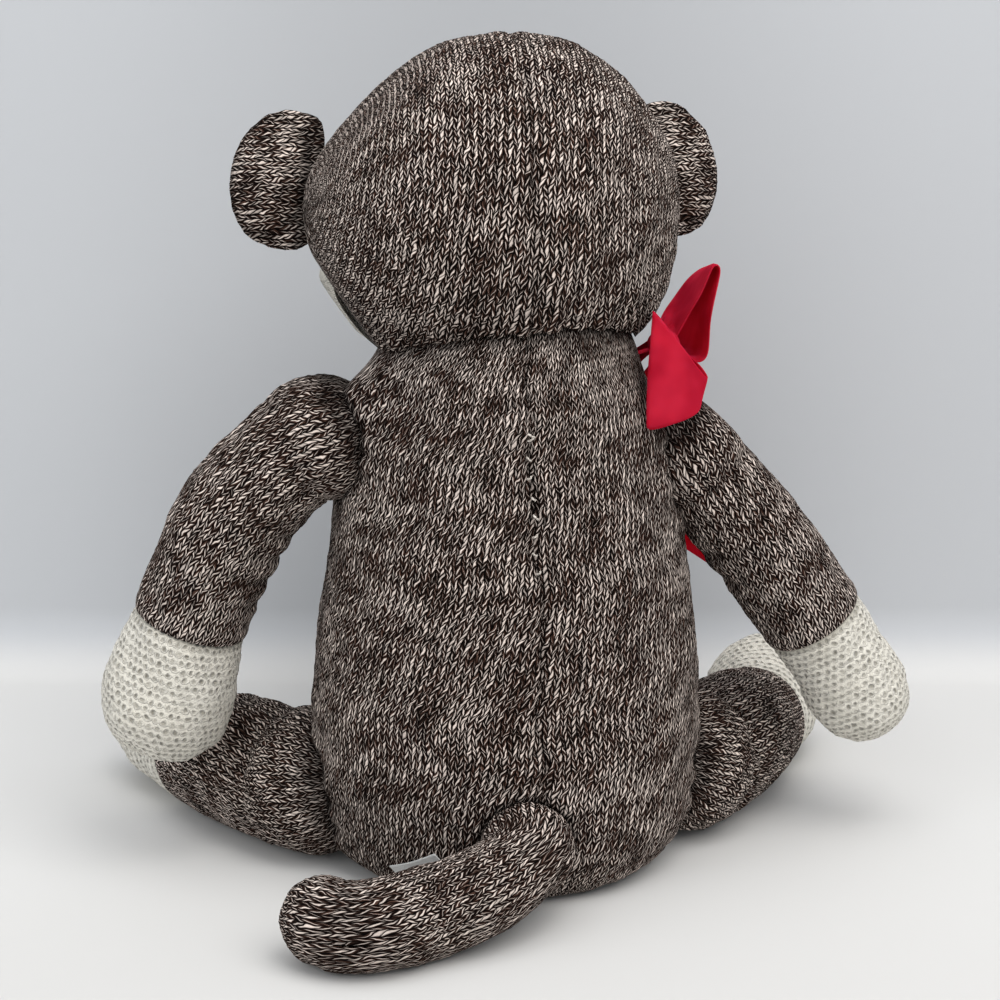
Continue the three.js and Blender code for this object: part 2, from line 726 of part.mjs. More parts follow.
// A knit sleeve with a round root and a cup at its open end, its stuffing, and the cream end in the cup.
function addLimb({ group, names, side, route, root, sleeve, joint, end, sides, lead, clear }) {
  const place = placesAlong(route);
  const sleevePiece = (inset, past, pieceSides = sides) => stuffedPiece({
    place, at: 0, root, girth: sleeve.girth, length: joint.at + past, tubeRings: sleeve.rings,
    sides: pieceSides, lead, inset,
  });
  const endPiece = (inset, pieceSides = sides) => stuffedPiece({
    place, at: joint.at, root: joint.radius, girth: end.girth, length: end.length, tip: end.tip,
    tubeRings: end.rings, sides: pieceSides, lead, inset,
  });
  const { middle, along } = place(joint.at);
  const cup = spread => ballCutter(middle, joint.radius + seamGap + spread, limbCup);
  const shell = cutBy(sleevePiece(0, 0), [sleevePiece(coverInside, overrun), cup(0), ...clear]);
  addPiece(group, names.cover, shell, marlKnit);
  const exit = point(-side * root, 0, 0);
  const fillRooms = [cup(fillGap), ...knotRoom(origin, exit), ...clear];
  const filling = cutBy(sleevePiece(fillInside, 0, limbFillSides), fillRooms);
  addPiece(group, names.stuffing, filling, fibreFill);
  addAnchorKnot(group, names.knot);

  const hole = bar(middle.clone().addScaledVector(along, -joint.radius - overrun), middle, turningHole);
  addPiece(group, names.endCover, cutBy(endPiece(0), [endPiece(coverInside), hole, ...clear]), creamKnit);
  addPiece(group, names.endStuffing, endPiece(fillInside, limbFillSides), fibreFill);
}

// An arm's middle line: straight out of the shoulder at first, then drooping towards the hand.
function armRoute({ side, droop, sharpness, forward }) {
  const lean = radians(forward);
  const places = [origin];
  for (let step = 0; step < armSteps; step += 1) {
    const bend = 1 - (1 - step / (armSteps - 1)) ** sharpness;
    const fall = radians(droop[0] + (droop[1] - droop[0]) * bend);
    const flat = Math.cos(lean);
    const move = point(side * Math.cos(fall) * flat, -Math.sin(lean), -Math.sin(fall) * flat);
    places.push(places.at(-1).clone().addScaledVector(move, armLength / armSteps));
  }
  return new THREE.CatmullRomCurve3(places);
}

// How much stouter or slimmer than the tables a hand is, going over from its sleeve's share past the wrist.
function handSwell({ sleeveShare, handShare }, distance) {
  const reached = THREE.MathUtils.clamp(distance / handLength / handSwellShare, 0, 1);
  return THREE.MathUtils.lerp(sleeveShare, handShare, reached);
}

function addArms() {
  const armGirth = smooth(armShapeShares);
  const handGirth = smooth(handShapeShares);
  for (const [name, arm] of Object.entries(arms)) {
    const group = pivotGroup(arm.pivot);
    const fromPivot = arm.pivot.clone().negate().toArray();
    const torso = torsoSolid(-armSideGap, torsoSides, -seamGap / 2).translate(fromPivot);
    addLimb({
      group,
      names: {
        cover: `arm_sleeve_${name}`, stuffing: `arm_stuffing_${name}`, knot: `shoulder_anchor_knot_${name}`,
        endCover: `hand_cover_${name}`, endStuffing: `hand_stuffing_${name}`,
      },
      side: arm.side,
      route: armRoute(arm),
      root: armRootRadius,
      sleeve: {
        girth: distance => armRadius * arm.sleeveShare * armGirth(distance / armLength)[0],
        rings: 6,
      },
      joint: { at: armLength - handLength, radius: wristBallRadius * arm.sleeveShare },
      end: {
        girth: distance => armRadius * handGirth(distance / handLength)[0] * handSwell(arm, distance),
        length: handLength, tip: handTip * arm.handShare, rings: 3,
      },
      sides: armSides,
      lead: point(0, 1, 0),
      clear: [torso],
    });
  }
}

// A leg lies on the floor all along, so its middle line is as high as its own radius.
const legGirth = smooth(legShapeShares);
const footGirth = smooth(footShapeShares);
const ankleAt = legLength - footLength;

function legRadiusAt(distance) {
  const sleeve = legRadius * legGirth(distance / legLength)[0];
  const foot = footRadius * footGirth((distance - ankleAt) / footLength)[0];
  return distance < ankleAt ? sleeve : Math.max(sleeve * ankleHeightShare, foot);
}

function legRoute({ side, pivot, splay, sharpness }) {
  const places = [origin];
  for (let step = 0; step < legSteps; step += 1) {
    const bend = 1 - (1 - step / (legSteps - 1)) ** sharpness;
    const out = radians(splay[0] + (splay[1] - splay[0]) * bend);
    const { x, y } = places.at(-1);
    const stride = legLength / legSteps;
    const height = legRadiusAt(stride * (step + 1)) - floorCut - pivot.z;
    places.push(point(x + side * stride * Math.sin(out), y - stride * Math.cos(out), height));
  }
  return new THREE.CatmullRomCurve3(places);
}

function addLegs() {
  for (const [name, leg] of Object.entries(legs)) {
    addLimb({
      group: pivotGroup(leg.pivot),
      names: {
        cover: `leg_cover_${name}`, stuffing: `leg_stuffing_${name}`, knot: `hip_anchor_knot_${name}`,
        endCover: `foot_cover_${name}`, endStuffing: `foot_stuffing_${name}`,
      },
      side: leg.side,
      route: legRoute(leg),
      root: legRootRadius,
      sleeve: { girth: distance => legRadius * legGirth(distance / legLength)[0], rings: 5 },
      joint: { at: ankleAt, radius: ankleBallRadius },
      end: {
        girth: distance => footRadius * footGirth(distance / footLength)[0], length: footLength,
        tip: footTip, rings: 3,
      },
      sides: legSides,
      lead: up,
      clear: [underFloor(leg.pivot.z)],
    });
  }
}

function addTail() {
  const group = pivotGroup(tailPivot);
  const drop = tailPivot.z - tailRadius + floorCut;
  const places = tailRouteShares.map(([side, back, down]) => {
    return point(side * tailLength, back * tailLength, -down * drop);
  });
  const route = new THREE.CatmullRomCurve3(places);
  const tailGirth = smooth(tailShapeShares);
  const tail = (inset, sides) => stuffedPiece({
    place: placesAlong(route), at: 0, root: tailRootRadius, length: route.getLength(), tip: tailTip,
    girth: distance => tailRadius * tailGirth(distance / tailLength)[0], tubeRings: 7, sides, inset,
  });
  const rootHole = bar(origin, point(0, -tailRootRadius - overrun, 0), turningHole);
  const cover = cutBy(tail(0, tailSides), [tail(coverInside, tailSides), rootHole, underFloor(tailPivot.z)]);
  addPiece(group, 'tail_cover', cover, marlKnit);
  const exit = point(0, -tailRootRadius, 0);
  addPiece(group, 'tail_stuffing', cutBy(tail(fillInside, limbFillSides), knotRoom(origin, exit)), fibreFill);
  addAnchorKnot(group, 'tail_anchor_knot');
}

// A strip of ribbon between two edges.
function ribbonStrip(shares) {
  const edges = [0, 1].map(edge => {
    const places = shares.map(row => point(...row[edge]).multiplyScalar(bowReach));
    return new THREE.CatmullRomCurve3(places);
  });
  const rings = Array.from({ length: ribbonSteps + 1 }, (_, step) => {
    const share = step / ribbonSteps;
    const [near, far] = edges.map(edge => edge.getPoint(share));
    const along = edges[0].getTangent(share).add(edges[1].getTangent(share));
    const thick = along.cross(far.clone().sub(near)).setLength(ribbonThickness / 2);
    return [near.clone().sub(thick), far.clone().sub(thick), far.clone().add(thick), near.clone().add(thick)];
  });
  const middle = ring => ring[0].clone().add(ring[2]).multiplyScalar(0.5);
  return solidOf(closedLoft(rings, middle(rings[0]), middle(rings.at(-1))));
}

function knotSolid(spread) {
  const geometry = new THREE.SphereGeometry(1, 10, 8);
  geometry.scale(knotHalfWidth + spread, knotHalfDepth + spread, knotHalfHeight + spread);
  return solidOf(geometry);
}

function addBow() {
  const group = pivotGroup(bowKnot);
  addPiece(group, 'bow_knot', knotSolid(0), redSatin);
  const knotSkin = knotSolid(layGap);
  const strips = [
    ['bow_loop_back', backLoopShares], ['bow_loop_front', frontLoopShares],
    ['bow_tail_outer', outerTailShares], ['bow_tail_inner', innerTailShares],
  ];
  for (const [name, shares] of strips) {
    addPiece(group, name, ribbonStrip(shares).subtract(knotSkin), redSatin);
  }
  const neckSide = neckPivot.clone().sub(bowKnot);
  const tack = bar(origin, neckSide, seamThread, small.sides).subtract(knotSkin);
  const neck = ball(neckSide, neckRadius + layGap, { sides: torsoSides, rows: neckRows });
  addPiece(group, 'bow_tack_thread', tack.subtract(neck), paleThread);
}

function addLabel() {
  const label = new THREE.BoxGeometry(labelWidth, labelThickness, labelLength);
  label.rotateX(radians(-labelTilt)).rotateZ(radians(-labelTurn)).translate(...labelPlace);
  addPiece(doll, 'care_label', solidOf(label).subtract(torsoSolid(-layGap)), whiteTape);
}

addTorso();
addBackSeam();
addLabel();
addHead();
addMuzzle();
addEyes();
addEars();
addArms();
addLegs();
addTail();
addBow();

export default doll;
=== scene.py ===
# A sitting sock monkey doll seen from behind: marled knit covers, cream hands and feet, and a satin ribbon bow.
# The doll faces -Y and its left side is +X. Sizes in the tables are millimetres, turned into metres at the end.
import json
import math

import bpy
import numpy as np
from mathutils import Matrix, Vector


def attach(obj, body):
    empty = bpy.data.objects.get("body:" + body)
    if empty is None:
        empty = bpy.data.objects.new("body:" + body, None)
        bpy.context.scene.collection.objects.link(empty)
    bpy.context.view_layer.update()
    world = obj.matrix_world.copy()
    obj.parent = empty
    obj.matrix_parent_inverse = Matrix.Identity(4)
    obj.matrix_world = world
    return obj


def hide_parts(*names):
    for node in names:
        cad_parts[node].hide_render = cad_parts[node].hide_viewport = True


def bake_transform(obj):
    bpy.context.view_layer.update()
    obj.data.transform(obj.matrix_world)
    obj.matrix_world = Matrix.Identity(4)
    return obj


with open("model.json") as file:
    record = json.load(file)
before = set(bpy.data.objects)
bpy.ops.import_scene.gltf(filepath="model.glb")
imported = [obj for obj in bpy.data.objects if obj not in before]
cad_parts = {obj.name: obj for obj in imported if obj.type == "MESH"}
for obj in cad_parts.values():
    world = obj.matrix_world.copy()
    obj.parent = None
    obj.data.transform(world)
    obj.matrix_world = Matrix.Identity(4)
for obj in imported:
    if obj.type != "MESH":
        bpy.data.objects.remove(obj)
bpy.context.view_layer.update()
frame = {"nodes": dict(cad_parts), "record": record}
mm = 0.001
print("frame loaded")


# Camera
view = {
    "target": (3.1, 0, 147),
    "azimuth": 171,  # degrees round the doll from the front
    "elevation": 15,
    "distance": 1000,
    "lens": 93.5,
}


def addCamera():
    turn, rise = math.radians(view["azimuth"]), math.radians(view["elevation"])
    back = Vector((math.sin(turn) * math.cos(rise), -math.cos(turn) * math.cos(rise), math.sin(rise)))
    place = (Vector(view["target"]) + back * view["distance"]) * mm
    bpy.ops.object.camera_add(location=place, rotation=back.to_track_quat("Z", "Y").to_euler())
    camera = bpy.context.object
    camera.name = "camera"
    camera.data.lens = view["lens"]
    camera.data.sensor_width = 36
    camera.data.clip_start = 0.01
    bpy.context.scene.camera = camera


addCamera()


# Shader maths: a Wire is the output of a node, and a Look is a material that adds nodes.
class Wire:
    def __init__(self, look, socket):
        self.look = look
        self.socket = socket

    def maths(self, operation, *others, clamp=False):
        settings = {"operation": operation, "use_clamp": clamp}
        return self.look.add("ShaderNodeMath", settings, dict(enumerate((self,) + others)))

    def __rsub__(self, other):
        return self.look.add("ShaderNodeMath", {"operation": "SUBTRACT"}, {0: other, 1: self})

    def held(self):
        return self.maths("ADD", 0.0, clamp=True)

    def rise(self, low, high):
        settings = {"interpolation_type": "SMOOTHSTEP"}
        return self.look.add("ShaderNodeMapRange", settings, {0: self, 1: low, 2: high, 3: 0.0, 4: 1.0})

    def band(self, low, full, fade, gone):
        return self.rise(low, full) * (1 - self.rise(fade, gone))


def operator(operation):
    return lambda wire, *others: wire.maths(operation, *others)


for name, operation in {
    "__add__": "ADD", "__radd__": "ADD", "__sub__": "SUBTRACT", "__mul__": "MULTIPLY", "__rmul__": "MULTIPLY",
    "__truediv__": "DIVIDE", "__pow__": "POWER", "part": "FRACT", "whole": "FLOOR", "size": "ABSOLUTE",
    "sine": "SINE", "above": "GREATER_THAN",
}.items():
    setattr(Wire, name, operator(operation))


class Look:
    def __init__(self, name):
        self.material = bpy.data.materials.new(name)
        self.material.use_nodes = True
        self.tree = self.material.node_tree
        self.surface = self.tree.nodes["Principled BSDF"]

    def add(self, kind, settings=None, inputs=None, output=0):
        node = self.tree.nodes.new(kind)
        for name, value in (settings or {}).items():
            setattr(node, name, value)
        for name, value in (inputs or {}).items():
            self.feed(node.inputs[name], value)
        return Wire(self, node.outputs[output])

    def feed(self, socket, value):
        if isinstance(value, Wire):
            self.tree.links.new(value.socket, socket)
        else:
            socket.default_value = value

    def axes(self, vector):
        node = self.add("ShaderNodeSeparateXYZ", None, {0: vector}).socket.node
        return [Wire(self, output) for output in node.outputs]

    def chart(self):
        return self.add("ShaderNodeUVMap", {"uv_map": "stitches"})

    def stitches(self):
        across, up, _ = self.axes(self.chart())
        return across, up

    def spot(self, x, y, z=0.0):
        return self.add("ShaderNodeCombineXYZ", None, {0: x, 1: y, 2: z})

    def chance(self, x, y, z=0.0):
        colour = self.add("ShaderNodeTexWhiteNoise", {"noise_dimensions": "3D"}, {"Vector": self.spot(x, y, z)}, 1)
        return self.axes(colour)

    def object(self):
        return self.add("ShaderNodeTexCoord", None, None, "Object")

    def noise(self, place, scale=1.0, detail=2.0, roughness=0.5):
        return self.add("ShaderNodeTexNoise", None, {
            "Vector": place, "Scale": scale, "Detail": detail, "Roughness": roughness})

    def mix(self, share, first, second):
        return self.add("ShaderNodeMix", {"data_type": "RGBA"}, {0: share, 6: first, 7: second}, 2)

    def attribute(self, name):
        return self.add("ShaderNodeAttribute", {"attribute_name": name}, None, "Fac")

    def bump(self, height, distance):
        return self.add("ShaderNodeBump", None, {"Strength": 1.0, "Distance": distance, "Height": height})

    def finish(self, **inputs):
        for name, value in inputs.items():
            self.feed(self.surface.inputs[name.replace("_", " ")], value)
        return self.material


def rgb(code):
    parts = [int(code[i:i + 2], 16) / 255 for i in (0, 2, 4)]
    return (*[c / 12.92 if c <= 0.04045 else ((c + 0.055) / 1.055) ** 2.4 for c in parts], 1.0)


# Marled stocking stitch. The map counts wales across and courses up. Each stitch is two slanted legs, and
# one ply of its yarn is cream.
marl = {
    "dark": "0d0806",
    "brown": "543c32",
    "cream": "ecdcd1",
    # gap: the painted shade between the legs and in creases
    "gap": "020101",
    "split": 0.58,  # where the two legs of a stitch meet
    "rise": 1.05,  # courses that a leg climbs
    "skew": 0.1,
    "waver": 0.45,  # how often the yarn wanders, and how many stitches aside, along and from wale to wale
    "wobble": 1.2,
    "sway": 1.6,
    "slip": 0.4,
    "patches": (0.35, 0.65),
    "patchShare": (0.22, 0.8),  # least cream, and how much more a pale patch has
    "legShade": 0.62,  # painted shade: how much less cream the one leg of a stitch shows, as if it faced away from the light
    "turned": (0.5, 0.66),  # where the other leg is the shaded one
    "turnedLegShade": 0.6,
    "body": (0.0, 0.2, 0.8, 1.0),  # along a leg: where it rises and sinks, and where its cream starts and ends
    "tips": (0.08, 0.26, 0.68, 0.9),
    "slide": (0.7, 0.6),
    "edge": (0.55, 1.1),
    "fibre": 900.0,
    # how dark the painted shade in creases, seams and undersides makes the knit
    "creaseShadeShare": 0.75,
    "relief": 0.0008,
}


def makeMarlKnit():
    look = Look("marlKnit")
    across, up = look.stitches()
    waver, split = marl["waver"], marl["split"]
    wobble = look.noise(look.spot(across * waver, up * waver)) - 0.5
    sway = look.noise(look.spot(across * waver + 9.3, up * waver)) - 0.5
    turned = look.noise(look.spot(across * 0.04, up * 0.05), 1.0, 1.0).rise(*marl["turned"])
    across = across + up * marl["skew"] + wobble * marl["wobble"]
    wale = across.whole()
    slip, _, _ = look.chance(wale, 0.0, 3.0)
    up = up + sway * marl["sway"] + slip * marl["slip"]
    aside = across.part() - split
    side = aside.above(0.0)
    along = aside.size() * (side * (1 / (1 - split) - 1 / split) + 1 / split)
    risen = up - along * marl["rise"]
    first, second, third = look.chance(wale * 2 + side, risen.whole())
    offset = (risen.part() - 0.5) * 2
    swell = (1 - offset * offset).held()
    height = (swell ** 0.6) * along.band(*marl["body"])
    patches = look.noise(look.spot(across * 0.2, up * 0.25), 1.0, 4.0, 0.7)
    least, more = marl["patchShare"]
    share = (patches.rise(*marl["patches"]) * more + least) * (second + 0.45)
    # Painted shade: one leg of each stitch shows less cream, as if it faced away from the light; in the turned
    # patches the other leg does.
    shadedLeg = side * (1 - turned) + (1 - side) * turned * marl["turnedLegShade"]
    share = share * (1 - shadedLeg * marl["legShade"])
    byChance, byPlace = marl["slide"]
    slide = (first - 0.5) * byChance + (along - 0.5) * byPlace
    away = (offset - slide).size()
    pale = (1 - (away / share).rise(*marl["edge"])) * along.band(*marl["tips"]) * swell.rise(0.0, 0.35)
    fibre = look.noise(look.object(), marl["fibre"])
    # The dark and brown are the yarn's own colours; their darkening from a leg's crown to near black in the gaps
    # between legs is painted shade.
    ground = look.mix((height * (third * 0.9 + 0.1)).held(), rgb(marl["dark"]), rgb(marl["brown"]))
    ground = look.mix(height.rise(0.15, 0.65), rgb(marl["gap"]), ground)
    strength = (third * 0.45 + 0.6) * (fibre * 0.6 + 0.7)
    colour = look.mix((pale * strength).held(), ground, rgb(marl["cream"]))
    # Painted shade: creases, seams, joints and undersides are darkened towards the gap colour.
    colour = look.mix((look.attribute("creaseShade") * marl["creaseShadeShare"]).held(), colour, rgb(marl["gap"]))
    relief = height * 0.8 + pale * 0.3 + fibre * 0.3
    return look.finish(
        Base_Color=colour, Roughness=0.95, Specular_IOR_Level=0.05, Normal=look.bump(relief, marl["relief"]))


# Cream knit with small pits in staggered rows, a little fuzzy.
cream = {
    "pale": "fffaee",
    # pit: painted shade in the knit's holes and at its joints
    "pit": "928b7b",
    "shade": "e8e1d0",
    "waver": 0.8,
    "bend": 0.8,
    "wide": 1.3,
    "pits": (0.06, 0.4),
    "arch": 1.6,
    "fuzz": 1400.0,
    "blotch": 60.0,
    "relief": 0.002,
}


def makeCreamKnit():
    look = Look("creamKnit")
    across, up = look.stitches()
    bend = look.noise(look.spot(across * cream["waver"], up * cream["waver"])) - 0.5
    bendUp = look.noise(look.spot(across * cream["waver"] + 7.3, up * cream["waver"])) - 0.5
    up = up + bendUp * cream["bend"]
    row = up.whole()
    across = across + bend * cream["bend"] + row * 0.5
    first, second, _ = look.chance(across.whole(), row)
    x = across.part() - 0.5
    y = up.part() - 0.5
    away = (x * x * cream["wide"] + y * y) ** 0.5
    pit = (1 - away.rise(*cream["pits"])) * (first * 0.6 + 0.4)
    loop = (1 - ((y + x * x * cream["arch"] - 0.36).size()).rise(0.0, 0.2)) * (second * 0.5 + 0.5)
    fuzz = look.noise(look.object(), cream["fuzz"], 3.0, 0.7)
    blotch = look.noise(look.object(), cream["blotch"])
    colour = look.mix((blotch * 0.8).held(), rgb(cream["pale"]), rgb(cream["shade"]))
    # The pits are painted grey: painted shade in the knit's holes.
    colour = look.mix((pit * 0.95).held(), colour, rgb(cream["pit"]))
    # Painted shade: the cream is darkened towards the pit colour where it meets the sleeves and the head.
    colour = look.mix((look.attribute("creaseShade") * 0.6).held(), colour, rgb(cream["pit"]))
    relief = loop * 0.5 - pit + fuzz * 0.55
    return look.finish(
        Base_Color=colour, Roughness=0.95, Specular_IOR_Level=0.2, Sheen_Weight=0.25, Sheen_Roughness=0.6,
        Normal=look.bump(relief, cream["relief"]))


# Red satin ribbon with a fine weft, with patches of deeper red painted as shade in its folds. The light that passes
# through it and its red sheen keep its folds warm.
satin = {
    "red": "c5243c",
    # deep: the painted shade in the ribbon's folds
    "deep": "9c1228",
    "glow": "ff3450",
    "weft": 16.0,
    "fold": 60.0,
    "sheen": 0.45,
    "through": 0.55,
    "throughRadius": (1.0, 0.12, 0.14),
    "throughScale": 0.004,
    "relief": 0.00003,
}


def makeRedSatin():
    look = Look("redSatin")
    across, up = look.stitches()
    weft = (up * satin["weft"]).sine()
    # Painted shade: noise patches of deeper red stand in for the shade in the ribbon's folds.
    fold = look.noise(look.object(), satin["fold"])
    colour = look.mix(fold.rise(0.3, 0.75), rgb(satin["deep"]), rgb(satin["red"]))
    height = weft * 0.5 + look.noise(look.spot(across * 0.3, up * 3.0))
    return look.finish(
        Base_Color=colour, Roughness=0.5 + fold * 0.15, Specular_IOR_Level=0.0,
        Sheen_Weight=satin["sheen"], Sheen_Roughness=0.35, Sheen_Tint=rgb(satin["glow"]),
        Subsurface_Weight=satin["through"], Subsurface_Radius=satin["throughRadius"],
        Subsurface_Scale=satin["throughScale"], Normal=look.bump(height, satin["relief"]))


redYarn = {"deep": "5c0d16", "red": "b3222f", "rise": 0.9, "half": 0.24, "fuzz": 1200.0, "relief": 0.0006}


def makeRedKnit():
    look = Look("redKnit")
    across, up = look.stitches()
    aside = (across.part() - 0.5).size()
    along = (up - aside * redYarn["rise"]).part()
    height = (1 - ((aside - 0.25) / redYarn["half"]) ** 2.0).held() * along.band(0.0, 0.2, 0.8, 1.0)
    fuzz = look.noise(look.object(), redYarn["fuzz"])
    # The red darkens from the legs' crowns into the gaps between them, which is painted shade, and varies with the
    # fuzz.
    colour = look.mix((height + fuzz * 0.4).held(), rgb(redYarn["deep"]), rgb(redYarn["red"]))
    return look.finish(
        Base_Color=colour, Roughness=0.9, Specular_IOR_Level=0.25, Sheen_Weight=0.2,
        Normal=look.bump(height + fuzz * 0.5, redYarn["relief"]))


thread = {"twist": 5200.0, "fuzz": 2500.0, "relief": 0.0002}


def makeThread(name, dark, light):
    look = Look(name)
    x, y, z = look.axes(look.object())
    twist = (((x + y + z) * thread["twist"]).sine() * 0.5 + 0.5)
    fuzz = look.noise(look.object(), thread["fuzz"])
    return look.finish(
        Base_Color=look.mix((twist * 0.7 + fuzz * 0.4).held(), rgb(dark), rgb(light)), Roughness=0.85,
        Normal=look.bump(twist + fuzz, thread["relief"]))


tape = {"low": "e9e9e6", "high": "fbfbfa", "weave": 62.0, "relief": 0.00005}


def makeTape():
    look = Look("whiteTape")
    across, up = look.stitches()
    weave = (across * tape["weave"]).sine() * (up * tape["weave"]).sine()
    soft = look.noise(look.chart(), 3.0)
    return look.finish(
        Base_Color=look.mix(soft, rgb(tape["low"]), rgb(tape["high"])), Roughness=0.55 + soft * 0.15,
        Normal=look.bump(weave + soft, tape["relief"]))


# Looks of one cloudy colour, from low to high, and how rough they are
plain = {
    "fibreFill": {
        "low": "d9d9d4", "high": "fbfbf8", "cloud": (220.0, 5.0, 0.7), "rough": (1.0, 0.0), "relief": 0.002,
    },
    "blackGloss": {"low": "050506", "high": "0d0d10", "cloud": (300.0,), "rough": (0.08, 0.06), "coat": (0.4, 0.1)},
    "clearPlastic": {"low": "cfd1d5", "high": "e4e6ea", "cloud": (500.0,), "rough": (0.35, 0.15), "relief": 0.00005},
}


def makePlain(name):
    own = plain[name]
    look = Look(name)
    cloud = look.noise(look.object(), *own["cloud"])
    inputs = {"Base_Color": look.mix(cloud, rgb(own["low"]), rgb(own["high"]))}
    inputs["Roughness"] = own["rough"][0] + cloud * own["rough"][1]
    if "coat" in own:
        inputs["Coat_Weight"] = own["coat"][0] + cloud * own["coat"][1]
    if "relief" in own:
        inputs["Normal"] = look.bump(cloud, own["relief"])
    return look.finish(**inputs)


looks = {
    "marl_knit": makeMarlKnit(),
    "cream_knit": makeCreamKnit(),
    "fibre_fill": makePlain("fibreFill"),
    "red_satin": makeRedSatin(),
    "red_knit": makeRedKnit(),
    "black_gloss": makePlain("blackGloss"),
    "dark_thread": makeThread("darkThread", "120c0a", "3a2c27"),
    "pale_thread": makeThread("paleThread", "8f857a", "ece4da"),
    "white_tape": makeTape(),
    "clear_plastic": makePlain("clearPlastic"),
}
print("materials made")


# Sums that the pieces share
def sizeOf(ways):
    return np.linalg.norm(ways, axis=-1, keepdims=True)


def unit(ways):
    return ways / np.maximum(sizeOf(ways), 1e-6)


def hump(off, half):
    return np.exp(-(off / half) ** 2)


def smoothStep(value, low, high):
    share = np.clip((value - low) / (high - low), 0, 1)
    return share * share * (3 - 2 * share)


def fullTurn(columns):
    return np.linspace(0, 2 * np.pi, columns + 1)[None, :]


def halfTurn(rows):
    return np.linspace(0, np.pi, rows + 1)[:, None]


def runAlong(points):
    return np.concatenate(([0], np.cumsum(np.linalg.norm(np.diff(points, axis=0), axis=1))))


def between(wanted, run, points):
    return np.stack([np.interp(wanted, run, axis) for axis in points.T], -1)


def rotation(degrees, axis):
    return Matrix.Rotation(math.radians(degrees), 3, axis)


def stack(*axes):
    return np.stack(np.broadcast_arrays(*axes), -1)


# Soft lumps: waves that run in chance directions
def lumps(places, size, seed, waves=12):
    chance = np.random.default_rng(seed)
    total = np.zeros(places.shape[:-1])
    for _ in range(waves):
        way = chance.normal(size=3)
        way /= np.linalg.norm(way)
        turns = 2 * np.pi / (size * chance.uniform(0.7, 1.6))
        total += np.sin(places @ way * turns + chance.uniform(0, 2 * np.pi))
    return total / np.sqrt(waves)


def outward(places):
    across = np.empty_like(places)
    across[:, 1:-1] = places[:, 2:] - places[:, :-2]
    across[:, 0] = across[:, -1] = places[:, 1] - places[:, -2]
    facing = np.cross(across, np.gradient(places, axis=0))
    size = sizeOf(facing)
    facing = facing / np.where(size < 1e-9, 1, size)
    facing[0] = facing[1:3].mean((0, 1))
    facing[-1] = facing[-3:-1].mean((0, 1))
    if ((places - places.mean((0, 1))) * facing).sum() < 0:
        facing = -facing
    return facing


# Bumps every few millimetres: soft lumps of the stuffing, the wales' ribs and the yarn's unevenness
stuffed = {"lump": 0.5, "lumpSize": 34, "dent": 0.22, "dentSize": 11, "rib": 0.1, "yarn": 0.1}


def roughen(places, wales, settings, seed, weight=None):
    rise = settings["lump"] * lumps(places, settings["lumpSize"], seed)
    rise = rise + settings["dent"] * lumps(places, settings["dentSize"], seed + 1)
    rise = rise + settings["rib"] * np.cos(2 * np.pi * wales)
    chance = np.random.default_rng(seed + 2).normal(size=rise.shape) * settings["yarn"]
    chance[:, -1] = chance[:, 0]
    rough = places + outward(places) * (rise + chance)[..., None]
    return rough if weight is None else places + (rough - places) * weight[..., None]


# Moves the places that are inside a ball out to its skin
def outOfBall(places, centre, radius):
    away = places - np.asarray(centre, float)
    far = sizeOf(away)
    return np.where(far < radius, np.asarray(centre) + away / np.maximum(far, 1e-6) * radius, places)


def evenly(profile, rows):
    profile = np.asarray(profile, float)
    run = runAlong(profile)
    wanted = np.linspace(0, run[-1], rows + 1)
    return between(wanted, run, profile), wanted[:, None]


def curveThrough(table, count=200):
    table = np.asarray(table, float)
    steps = np.linspace(0, len(table) - 1, count)
    first = np.clip(np.floor(steps).astype(int), 0, len(table) - 2)
    share = (steps - first)[:, None]
    before = table[np.maximum(first - 1, 0)]
    after = table[np.minimum(first + 2, len(table) - 1)]
    a, b = table[first], table[first + 1]
    return 0.5 * (2 * a + (b - before) * share + (2 * before - 5 * a + 4 * b - after) * share ** 2
                  + (3 * a - before - 3 * b + after) * share ** 3)


# A profile's curve whose widths are never less than nothing and close at both ends
def closedCurve(table, count):
    dense = curveThrough(table, count)
    dense[:, 1:3] = np.clip(dense[:, 1:3], 0, None)
    dense[0, 1:3] = 0
    dense[-1, 1:3] = 0
    return dense


def choose(*pieces):
    bpy.ops.object.select_all(action="DESELECT")
    for piece in reversed(pieces):
        piece.select_set(True)
        bpy.context.view_layer.objects.active = piece


